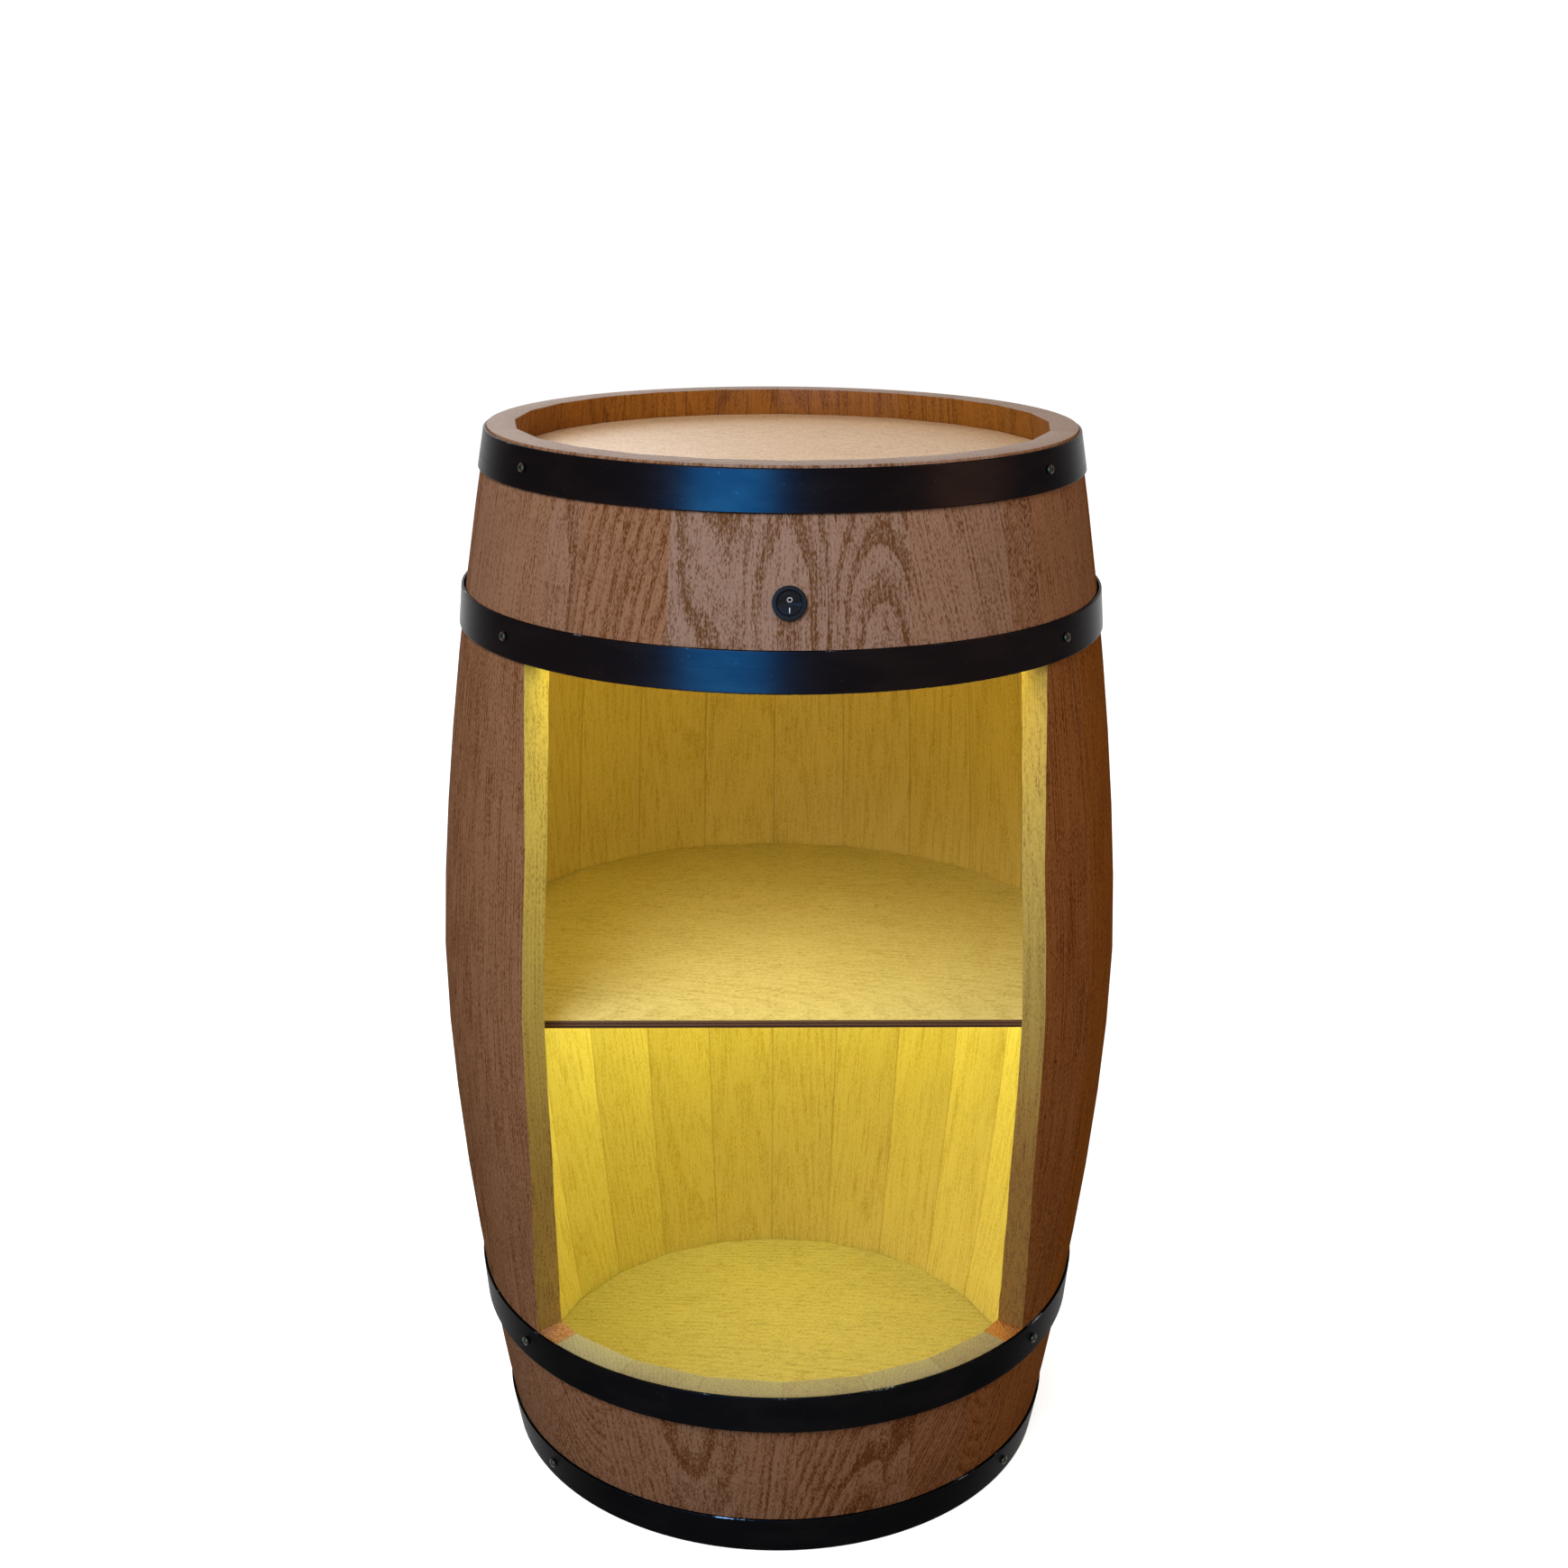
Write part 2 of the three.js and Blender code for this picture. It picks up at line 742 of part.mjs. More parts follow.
function makeLeads() {
  const inletRoute = [
    behindInlet(0),
    behindInlet(leadBend),
    facetPoint(inletAngle - pitch / 2, inletHeight + leadBend * 2, leadBend * 2),
    ...alongWall(inletAngle - 2 * pitch, pitch * 1.5, inletLeadHeight),
    behindTab(tabSpacing, leadBend),
    behindTab(tabSpacing, 0),
  ];
  makeLead("lead_inlet_to_switch", inletRoute, 48);

  const wallInset = leadWallGap + leadRadius;
  const upperStripTop = upperStripBottom + stripWidth;
  const upperRoute = [
    behindTab(-tabSpacing, 0),
    behindTab(-tabSpacing, leadBend),
    facetPoint(pitch / 2, (switchHeight + upperStripTop) / 2, 2 * leadBend),
    facetPoint(pitch / 2, upperStripTop + leadBend, wallInset),
    facetPoint(pitch / 2, upperStripTop + fitGap, wallInset),
  ];
  makeLead("lead_switch_to_upper_strip", upperRoute, 12);

  const stripMiddle = lowerStripBottom + stripWidth / 2;
  const stripEnd = fullAngle - lowerStripStart + fitGap / facetDistance(stripMiddle) / degree;
  const dropTop = stripLeadHeight - 2 * leadBend;
  const dropSteps = 6;
  const drop = [];
  for (let i = 0; i <= dropSteps; i++) {
    const z = dropTop - ((dropTop - shelfTop) * i) / dropSteps;
    drop.push(facetPoint(stripLeadAngle, z, wallInset));
  }
  const lowerRoute = [
    behindTab(0, 0),
    behindTab(0, leadBend),
    ...alongWall(fullAngle - 1.5 * pitch, stripLeadAngle + pitch / 2, stripLeadHeight),
    ...drop,
    facetPoint(stripLeadAngle, shelfBottom, wallInset),
    ...alongWall(stripLeadAngle - pitch / 2, stripEnd, stripMiddle),
  ];
  makeLead("lead_switch_to_lower_strip", lowerRoute, 52);
}

makeTallStaves();
makeFrontStaves();
for (const hoop of hoops) {
  makeHoop(hoop);
  for (const [side, angle] of Object.entries(hoopScrewAngles())) makeScrew(hoop, side, angle);
}
makeHeadBoard("top_board", headTop, paleWood);
makeHeadBoard("floor_board", floorTop, paleWood);
makeShelf();
makePins();
makeStrip("light_strip_upper", -upperStripEnd, upperStripEnd, upperStripBottom);
makeStrip("light_strip_lower", lowerStripStart, fullAngle - lowerStripStart, lowerStripBottom);
makeSwitch();
makeInlet();
makeLeads();
barrel.position.y = (hoopReach() - bellyRadius) / 2;

export default cabinet;
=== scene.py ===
"""Barrel bar cabinet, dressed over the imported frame.

Lengths are in metres, +Z is up and the front faces -Y. Angles round the barrel are in degrees, 0 at
the front and growing towards +X. Every finished piece stands at the origin with its place in its mesh.
Colours are red, green and blue in linear light.
"""

import logging
import math
import random
from collections.abc import Callable, Iterator, Sequence
from contextlib import contextmanager
from dataclasses import dataclass, replace
from enum import Enum

import bmesh
import bpy
from mathutils import Matrix, Vector


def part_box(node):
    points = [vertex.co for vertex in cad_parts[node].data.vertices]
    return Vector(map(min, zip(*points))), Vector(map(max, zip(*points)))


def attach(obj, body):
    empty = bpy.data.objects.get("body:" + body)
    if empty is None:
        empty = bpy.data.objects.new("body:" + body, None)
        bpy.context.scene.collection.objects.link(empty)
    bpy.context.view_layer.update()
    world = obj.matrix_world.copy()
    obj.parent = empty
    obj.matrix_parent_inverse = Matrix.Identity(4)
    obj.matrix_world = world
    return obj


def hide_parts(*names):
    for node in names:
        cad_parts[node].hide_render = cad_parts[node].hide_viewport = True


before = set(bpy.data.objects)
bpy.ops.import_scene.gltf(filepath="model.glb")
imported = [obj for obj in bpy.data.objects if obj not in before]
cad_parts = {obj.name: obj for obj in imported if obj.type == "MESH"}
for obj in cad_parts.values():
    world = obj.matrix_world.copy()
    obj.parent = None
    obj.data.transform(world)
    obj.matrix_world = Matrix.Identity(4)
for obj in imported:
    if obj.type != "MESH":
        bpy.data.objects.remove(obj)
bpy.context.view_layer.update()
LOG = logging.getLogger("barrel_cabinet")
DRAWS = random.Random(24)
X_AXIS, Y_AXIS, Z_AXIS = range(3)
# Places that are closer than this count as the same
NEAR = 1e-5
# A face looks along a direction where more than this share of its normal does
FACING = 0.5

Colour = tuple[float, float, float]
Stretch = tuple[float, float]
Profile = Sequence[tuple[float, float]]
BoardPlace = tuple[tuple[float, float, float], float]


class Body(Enum):
    """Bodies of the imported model."""

    CABINET = "cabinet"
    ROCKER = "rocker"


class Slot(Enum):
    """Material slots of the record."""

    STAVE = "stave_wood"
    BOARD = "board_wood"
    HOOP = "hoop_steel"
    SCREW = "screw_steel"
    PIN = "pin_steel"
    STRIP = "light_strip"
    SWITCH = "switch_plastic"
    LEAD = "lead_sheath"


class Side(Enum):
    """Faces of a stave that get their own finish, in the order of its material slots."""

    OUTSIDE = 0
    INSIDE = 1
    END = 2
    SAWN = 3
    RIM = 4
    LIP = 5


# Modelling helpers


def deselect_all() -> None:
    """Clears the selection that loading or adding a piece leaves."""
    bpy.ops.object.select_all(action="DESELECT")


def activate(piece: bpy.types.Object) -> None:
    """Makes one piece the only selected and the active one."""
    deselect_all()
    piece.select_set(True)
    bpy.context.view_layer.objects.active = piece


def named(name: str) -> bpy.types.Object:
    """Gives the active piece and its mesh a name.

    Args:
        name: The piece's name.

    Returns:
        The active piece.
    """
    piece = bpy.context.active_object
    piece.name = name
    piece.data.name = name
    return piece


def settle(piece: bpy.types.Object) -> None:
    """Puts a piece's place, turn and size into its mesh."""
    activate(piece)
    bpy.ops.object.transform_apply(location=True, rotation=True, scale=True)


@contextmanager
def editing(piece: bpy.types.Object, kind: str = "EDGE") -> Iterator[bmesh.types.BMesh]:
    """Edit mode on one piece, starting with nothing selected.

    Args:
        piece: The piece to edit.
        kind: What is selected, VERT, EDGE or FACE.

    Yields:
        The piece's mesh in edit mode.
    """
    activate(piece)
    bpy.ops.object.mode_set(mode="EDIT")
    bpy.ops.mesh.select_mode(type=kind)
    bpy.ops.mesh.select_all(action="DESELECT")
    yield bmesh.from_edit_mesh(piece.data)
    bpy.ops.object.mode_set(mode="OBJECT")


def pick(piece: bpy.types.Object, items: Sequence, test: Callable[..., bool]) -> int:
    """Selects the edges or faces that pass a test, in edit mode.

    Args:
        piece: The piece in edit mode.
        items: Its edges, faces or vertices.
        test: What an item has to pass.

    Returns:
        How many are selected.
    """
    bpy.ops.mesh.select_all(action="DESELECT")
    count = 0
    for item in items:
        if test(item):
            item.select_set(True)
            count += 1
    bmesh.update_edit_mesh(piece.data)
    return count


def cut_across(places: Sequence[float], axis: int) -> None:
    """Cuts the mesh in edit mode across at places along an axis, without parting it."""
    for place in places:
        point = [0.0, 0.0, 0.0]
        point[axis] = place
        direction = [0.0, 0.0, 0.0]
        direction[axis] = 1.0
        bpy.ops.mesh.select_all(action="SELECT")
        bpy.ops.mesh.bisect(plane_co=point, plane_no=direction)


def round_edges(
    piece: bpy.types.Object, width: float, test: Callable[..., bool], segments: int = 3
) -> None:
    """Rounds the edges that pass a test.

    Args:
        piece: The piece to round.
        width: Width of the rounding.
        test: What an edge has to pass.
        segments: Faces across the rounding.
    """
    with editing(piece) as mesh:
        if pick(piece, mesh.edges, test):
            bpy.ops.mesh.bevel(offset=width, segments=segments, affect="EDGES")


def is_sharp(degrees: float) -> Callable[..., bool]:
    """Test for edges whose faces meet at more than an angle."""
    limit = math.radians(degrees)
    return lambda edge: len(edge.link_faces) == 2 and edge.calc_face_angle() > limit


def smooth(piece: bpy.types.Object, degrees: float = 32.0) -> None:
    """Smooths a piece's shading apart from its sharp edges."""
    activate(piece)
    bpy.ops.object.shade_smooth_by_angle(angle=math.radians(degrees))


def close_up(piece: bpy.types.Object) -> None:
    """Merges the doubles of a piece and turns its faces outwards."""
    with editing(piece, "VERT"):
        bpy.ops.mesh.select_all(action="SELECT")
        bpy.ops.mesh.remove_doubles(threshold=NEAR / 2)
        bpy.ops.mesh.normals_make_consistent(inside=False)


def copied(piece: bpy.types.Object, name: str) -> bpy.types.Object:
    """Copy of a piece with its own mesh.

    Args:
        piece: The piece to copy.
        name: Name of the copy.

    Returns:
        The copy.
    """
    copy = bpy.data.objects.new(name, piece.data.copy())
    copy.data.name = name
    bpy.context.scene.collection.objects.link(copy)
    return copy


def discard(piece: bpy.types.Object) -> None:
    """Removes a master or a cutter once it has been used."""
    bpy.data.objects.remove(piece)


def cut_out(piece: bpy.types.Object, cutter: bpy.types.Object) -> None:
    """Cuts one solid out of another."""
    activate(piece)
    cut = piece.modifiers.new("cut", "BOOLEAN")
    cut.operation = "DIFFERENCE"
    cut.solver = "EXACT"
    cut.object = cutter
    bpy.ops.object.modifier_apply(modifier=cut.name)


def turned(name: str, profile: Profile, steps: int, angle: float = 360.0) -> bpy.types.Object:
    """Drags a point along a profile in the XZ plane and spins it round Z.

    Args:
        name: Name of the piece.
        profile: Radius and height of each point. A ring ends on its first point.
        steps: Faces round a full turn.
        angle: How far it is spun.

    Returns:
        The piece.
    """
    deselect_all()
    radius, height = profile[0]
    bpy.ops.mesh.primitive_plane_add(size=NEAR, location=(radius, 0.0, height))
    piece = named(name)
    settle(piece)
    with editing(piece, "VERT"):
        bpy.ops.mesh.select_all(action="SELECT")
        bpy.ops.mesh.merge(type="CENTER")
        for (from_radius, from_height), (to_radius, to_height) in zip(profile, profile[1:]):
            step = (to_radius - from_radius, 0.0, to_height - from_height)
            bpy.ops.mesh.extrude_region_move(TRANSFORM_OT_translate={"value": step})
        bpy.ops.mesh.select_all(action="SELECT")
        bpy.ops.mesh.remove_doubles(threshold=NEAR / 2)
        bpy.ops.mesh.select_all(action="SELECT")
        bpy.ops.mesh.spin(
            steps=steps,
            angle=math.radians(angle),
            center=(0.0, 0.0, 0.0),
            axis=(0.0, 0.0, 1.0),
        )
    close_up(piece)
    return piece


def quarter(steps: int) -> list[float]:
    """Angles from 0 to a right angle in equal steps."""
    return [math.radians(90.0 * i / steps) for i in range(steps + 1)]


def rounded_rim(radius: float, top: float, bend: float, steps: int) -> Profile:
    """Rounded upper corner of a turned profile, from its side to its top.

    Args:
        radius: Radius of the side.
        top: Height of the top.
        bend: Radius of the rounding.
        steps: Faces across the rounding.

    Returns:
        Radius and height of each point.
    """
    turns = quarter(steps)
    return [(radius - bend + bend * math.cos(t), top - bend + bend * math.sin(t)) for t in turns]


def rotation(degrees: float, axis: str = "Z") -> Matrix:
    """Turn about an axis through the origin."""
    return Matrix.Rotation(math.radians(degrees), 4, axis)


def shift(x: float = 0.0, y: float = 0.0, z: float = 0.0) -> Matrix:
    """Move along the axes."""
    return Matrix.Translation((x, y, z))


def frame_at(place: Vector, x_axis: Vector, y_axis: Vector, z_axis: Vector) -> Matrix:
    """Frame that stands at a place, with the directions of its axes."""
    return Matrix.Translation(place) @ Matrix((x_axis, y_axis, z_axis)).transposed().to_4x4()


def block(name: str, low: Sequence[float], high: Sequence[float]) -> bpy.types.Object:
    """Square block between two corners, as a start for shaping.

    Args:
        name: Name of the piece.
        low: Lowest corner.
        high: Highest corner.

    Returns:
        The block.
    """
    deselect_all()
    middle = [(a + b) / 2 for a, b in zip(low, high)]
    size = [b - a for a, b in zip(low, high)]
    bpy.ops.mesh.primitive_cube_add(size=1.0, location=middle, scale=size)
    piece = named(name)
    settle(piece)
    return piece


def post(name: str, radius: float, bottom: float, top: float, sides: int) -> bpy.types.Object:
    """Round post on Z between two heights, as a start for shaping.

    Args:
        name: Name of the piece.
        radius: Its radius.
        bottom: Its lower end.
        top: Its upper end.
        sides: Faces round it.

    Returns:
        The post.
    """
    deselect_all()
    middle = (0.0, 0.0, (bottom + top) / 2)
    bpy.ops.mesh.primitive_cylinder_add(
        vertices=sides, radius=radius, depth=top - bottom, location=middle
    )
    piece = named(name)
    settle(piece)
    return piece


def reshape(piece: bpy.types.Object, place: Callable[[Vector], Vector]) -> None:
    """Moves every point of a piece, as bending a board does."""
    for vertex in piece.data.vertices:
        vertex.co = place(vertex.co)
    piece.data.update()


def write_values(piece: bpy.types.Object, name: str, values: Sequence[float]) -> None:
    """Keeps one number per point for the finishes."""
    layer = piece.data.attributes.new(name=name, type="FLOAT", domain="POINT")
    layer.data.foreach_set("value", list(values))


def write_vectors(piece: bpy.types.Object, name: str, values: Sequence[Sequence[float]]) -> None:
    """Keeps one vector per corner of each face, so that it may change at an edge."""
    layer = piece.data.attributes.new(name=name, type="FLOAT_VECTOR", domain="CORNER")
    layer.data.foreach_set("vector", [part for value in values for part in value])


def dress(piece: bpy.types.Object, body: Body, slot: Slot, *nodes: str) -> None:
    """Names the body a piece rides on and the nodes it stands for.

    Args:
        piece: The finished piece.
        body: The body it rides on.
        slot: The record's slot for its finish; not used.
        *nodes: CAD nodes that it replaces.
    """
    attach(piece, body.value)
    if nodes:
        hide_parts(*nodes)
    faces = len(piece.data.polygons)
    LOG.info("%s: %d faces, stands for %s", piece.name, faces, ", ".join(nodes) or "no node")


# Shader helpers


FLOAT = "NodeSocketFloat"
VECTOR = "NodeSocketVector"


@dataclass(frozen=True)
class Pattern:
    """A noise: its repeats per metre along each axis, and its levels of detail."""

    x: float
    y: float
    z: float
    detail: float = 2.0


def even(repeats: float, detail: float = 2.0) -> Pattern:
    """Pattern that is equally fine along every axis."""
    return Pattern(repeats, repeats, repeats, detail)


class Nodes:
    """Short way to add and join the nodes of one material or group."""

    def __init__(self, tree: bpy.types.NodeTree) -> None:
        """Keeps the tree that the nodes go into."""
        self.tree = tree

    def give(self, socket: bpy.types.NodeSocket, value: object) -> None:
        """Links a socket to an input or sets the input's value, where a colour is an opaque one."""
        if isinstance(value, bpy.types.NodeSocket):
            self.tree.links.new(value, socket)
        elif socket.type == "RGBA":
            socket.default_value = (*value, 1.0)
        else:
            socket.default_value = value

    def fill(self, node: bpy.types.Node, values: dict) -> None:
        """Gives inputs of a node, by name or index, their sockets or values."""
        for key, value in values.items():
            self.give(node.inputs[key], value)

    def add(self, kind: str, values: dict | None = None, **settings: object) -> bpy.types.Node:
        """Adds a node.

        Args:
            kind: Its type without the ShaderNode in front.
            values: Inputs by name or index.
            **settings: Its own settings.

        Returns:
            The node.
        """
        node = self.tree.nodes.new("ShaderNode" + kind)
        for name, value in settings.items():
            setattr(node, name, value)
        self.fill(node, values or {})
        return node

    def math(self, operation: str, *values: object) -> bpy.types.NodeSocket:
        """Result of a Math node."""
        return self.add("Math", dict(enumerate(values)), operation=operation).outputs[0]

    def vector(self, operation: str, *values: object) -> bpy.types.NodeSocket:
        """Result of a Vector Math node."""
        return self.add("VectorMath", dict(enumerate(values)), operation=operation).outputs[0]

    def parts(self, vector: bpy.types.NodeSocket) -> Sequence[bpy.types.NodeSocket]:
        """The three numbers of a vector."""
        return self.add("SeparateXYZ", {0: vector}).outputs

    def mix(self, mode: str, factor: object, first: object, second: object) -> bpy.types.NodeSocket:
        """Colour that a Mix node makes of two."""
        values = {0: factor, 6: first, 7: second}
        return self.add("Mix", values, data_type="RGBA", blend_type=mode).outputs[2]

    def noise(self, vector: object, pattern: Pattern, colour: bool = False) -> bpy.types.NodeSocket:
        """Noise in a pattern.

        Args:
            vector: Where it is read.
            pattern: How fine it is.
            colour: Whether three values are wanted instead of one.

        Returns:
            The noise.
        """
        place = self.vector("MULTIPLY", vector, (pattern.x, pattern.y, pattern.z))
        node = self.add("TexNoise", {"Vector": place, "Scale": 1.0, "Detail": pattern.detail})
        return node.outputs["Color" if colour else "Fac"]

    def step(
        self, value: object, stretch: Stretch, start: float = 0.0, end: float = 1.0
    ) -> bpy.types.NodeSocket:
        """Smooth step from start to end while a value passes through a stretch."""
        values = {0: value, 1: stretch[0], 2: stretch[1], 3: start, 4: end}
        return self.add("MapRange", values, interpolation_type="SMOOTHSTEP").outputs[0]

    def spread(self, value: object, start: object, end: object) -> bpy.types.NodeSocket:
        """A value from 0 to 1 spread from start to end."""
        return self.add("MapRange", {0: value, 1: 0.0, 2: 1.0, 3: start, 4: end}).outputs[0]

    def attribute(self, name: str, output: str = "Vector") -> bpy.types.NodeSocket:
        """What a piece keeps in its mesh under a name."""
        return self.add("Attribute", attribute_name=name).outputs[output]

    def place(self) -> bpy.types.NodeSocket:
        """Place in the piece's own coordinates."""
        return self.add("TexCoord").outputs["Object"]


class ShaderGroup:
    """An effect that finishes share, built once. Its outputs are single values."""

    name = "group"
    inputs: dict[str, str] = {}
    outputs: tuple[str, ...] = ()

    def tree(self) -> bpy.types.NodeTree:
        """The group's tree, built on first use."""
        made = bpy.data.node_groups.get(self.name)
        if made:
            return made
        made = bpy.data.node_groups.new(self.name, "ShaderNodeTree")
        for name, kind in self.inputs.items():
            made.interface.new_socket(name=name, in_out="INPUT", socket_type=kind)
        for name in self.outputs:
            made.interface.new_socket(name=name, in_out="OUTPUT", socket_type=FLOAT)
        start = made.nodes.new("NodeGroupInput")
        end = made.nodes.new("NodeGroupOutput")
        nodes = Nodes(made)
        nodes.fill(end, self.build(nodes, start.outputs))
        return made

    def build(self, nodes: Nodes, inputs: object) -> dict[str, bpy.types.NodeSocket]:
        """Adds the group's nodes and returns its outputs by name."""
        raise NotImplementedError

    def placed(self, nodes: Nodes, **values: object) -> object:
        """The group's outputs in a material, with its own values for the inputs."""
        node = nodes.tree.nodes.new("ShaderNodeGroup")
        node.node_tree = self.tree()
        nodes.fill(node, values)
        return node.outputs


class GrainGroup(ShaderGroup):
    """Growth rings, pores, streaks and blotches of a sawn board, read in its own grain space."""

    name = "board_grain"
    inputs = {"Grain": VECTOR, "Rings": VECTOR}
    outputs = ("Dark", "Pores", "Streaks", "Blotch", "Flecks")

    warp = Pattern(22.0, 22.0, 6.0)
    warp_reach = 0.006
    sway = Pattern(40.0, 40.0, 15.0)
    sway_reach = 0.45
    fray = Pattern(900.0, 900.0, 220.0, 1.0)
    fray_reach = 0.30
    ring_fade = (0.16, 0.74)
    palest_ring = 0.50
    lines_per_ring = 4.0
    line_fade = (0.10, 0.80)
    line_share = 0.24
    pores = Pattern(1300.0, 1300.0, 330.0, 1.0)
    pore_edge = (0.50, 0.68)
    pores_in_light = 0.28
    streaks = Pattern(600.0, 600.0, 8.0)
    blotches = Pattern(40.0, 40.0, 18.0, 1.0)
    blotch_edge = (0.36, 0.70)
    flecks = Pattern(1200.0, 1200.0, 400.0, 0.0)

    def build(self, nodes: Nodes, inputs: object) -> dict[str, bpy.types.NodeSocket]:
        """Each ring starts dark at a crisp frayed edge and fades to light, or the other way round.

        Rings holds a board's ring spacing, its turned-over share and the strength of its figure.
        """
        grain = inputs["Grain"]
        spacing, over, strength = nodes.parts(inputs["Rings"])
        turns = self.turns(nodes, grain, spacing)
        lines = nodes.math("FRACT", nodes.math("MULTIPLY", turns, self.lines_per_ring))
        fray = nodes.math("SUBTRACT", nodes.noise(grain, self.fray), 0.5)
        turns = nodes.math("ADD", turns, nodes.math("MULTIPLY", fray, self.fray_reach))
        part = nodes.math("FRACT", turns)
        part = nodes.spread(over, part, nodes.math("SUBTRACT", 1.0, part))
        ring = nodes.math("FLOOR", turns)
        own = nodes.add("TexWhiteNoise", {"W": ring}, noise_dimensions="1D").outputs["Value"]
        dark = nodes.step(part, self.ring_fade, 1.0, 0.0)
        dark = nodes.math("MULTIPLY", dark, nodes.spread(own, self.palest_ring, 1.0))
        dark = nodes.math("ADD", dark, nodes.step(lines, self.line_fade, self.line_share, 0.0))
        dark = nodes.math("MULTIPLY", dark, strength)
        pores = nodes.step(nodes.noise(grain, self.pores), self.pore_edge)
        blotch = nodes.step(nodes.noise(grain, self.blotches), self.blotch_edge)
        return {
            "Dark": dark,
            "Pores": nodes.math("MULTIPLY", pores, nodes.spread(dark, self.pores_in_light, 1.0)),
            "Streaks": nodes.noise(grain, self.streaks),
            "Blotch": nodes.math("MULTIPLY", blotch, strength),
            "Flecks": nodes.noise(grain, self.flecks),
        }

    def turns(self, nodes: Nodes, grain: object, spacing: object) -> bpy.types.NodeSocket:
        """How many rings lie between the pith and a point, with the rings bent a little."""
        bend = nodes.noise(grain, self.warp, colour=True)
        bend = nodes.vector("SUBTRACT", bend, (0.5, 0.5, 0.5))
        bend = nodes.vector("MULTIPLY", bend, (self.warp_reach, self.warp_reach, 0.0))
        level = nodes.vector("MULTIPLY", nodes.vector("ADD", grain, bend), (1.0, 1.0, 0.0))
        length = nodes.add("VectorMath", {0: level}, operation="LENGTH").outputs["Value"]
        sway = nodes.spread(nodes.noise(grain, self.sway), -self.sway_reach, self.sway_reach)
        return nodes.math("ADD", nodes.math("DIVIDE", length, spacing), sway)


class WearGroup(ShaderGroup):
    """Where paint has rubbed off along an edge."""

    name = "rubbed_edge"
    inputs = {"Edge": FLOAT, "Place": VECTOR, "Amount": FLOAT}
    outputs = ("Mask",)

    broad = even(38.0, 3.0)
    broad_share = 0.65
    fine = even(900.0)
    rubbed = (0.92, 1.02)

    def build(self, nodes: Nodes, inputs: object) -> dict[str, bpy.types.NodeSocket]:
        """The edge shows where its mask and a broken noise together pass a threshold."""
        place, edge = inputs["Place"], inputs["Edge"]
        broad = nodes.math("MULTIPLY", nodes.noise(place, self.broad), self.broad_share)
        fine = nodes.math("MULTIPLY", nodes.noise(place, self.fine), 1.0 - self.broad_share)
        level = nodes.math("MULTIPLY", edge, inputs["Amount"])
        level = nodes.math("ADD", level, nodes.math("ADD", broad, fine))
        return {"Mask": nodes.math("MULTIPLY", nodes.step(level, self.rubbed), edge)}


class SpeckGroup(ShaderGroup):
    """Sparse small specks, as of dust or chips."""

    name = "small_specks"
    inputs = {"Place": VECTOR, "Scale": FLOAT}
    outputs = ("Mask",)

    edge = (0.10, 0.22)
    left_out = 0.93

    def build(self, nodes: Nodes, inputs: object) -> dict[str, bpy.types.NodeSocket]:
        """Cells whose centres are near are kept, and most cells are dropped at random."""
        cells = nodes.add("TexVoronoi", {"Vector": inputs["Place"], "Scale": inputs["Scale"]})
        close = nodes.step(cells.outputs["Distance"], self.edge, 1.0, 0.0)
        chance = nodes.add("SeparateColor", {0: cells.outputs["Color"]}).outputs[0]
        kept = nodes.math("GREATER_THAN", chance, self.left_out)
        return {"Mask": nodes.math("MULTIPLY", close, kept)}


GRAIN = GrainGroup()
WEAR = WearGroup()
SPECKS = SpeckGroup()


@dataclass(frozen=True)
class Finish:
    """A finish with a Principled shader; each kind gives its own inputs."""

    name: str
    roughness: float = 0.5
    specular: float = 0.5
    smoother: float = 0.10
    rougher: float = 0.10
    relief: float = 0.3
    relief_depth: float = 0.0003

    def material(self) -> bpy.types.Material:
        """The finish's material, built on first use."""
        made = bpy.data.materials.get(self.name)
        if made:
            return made
        made = bpy.data.materials.new(self.name)
        made.use_nodes = True
        nodes = Nodes(made.node_tree)
        shader = made.node_tree.nodes["Principled BSDF"]
        nodes.fill(shader, {"Specular IOR Level": self.specular, **self.build(nodes)})
        return made

    def build(self, nodes: Nodes) -> dict[str, object]:
        """Adds the finish's nodes and returns the shader's inputs by name."""
        raise NotImplementedError

    def rough(self, nodes: Nodes, pattern: object) -> bpy.types.NodeSocket:
        """Roughness that a pattern spreads round the finish's own."""
        return nodes.spread(pattern, self.roughness - self.smoother, self.roughness + self.rougher)

    def bump(self, nodes: Nodes, height: object) -> bpy.types.NodeSocket:
        """Normal that a height gives with the finish's own relief."""
        values = {"Height": height, "Distance": self.relief_depth, "Strength": self.relief}
        return nodes.add("Bump", values).outputs[0]


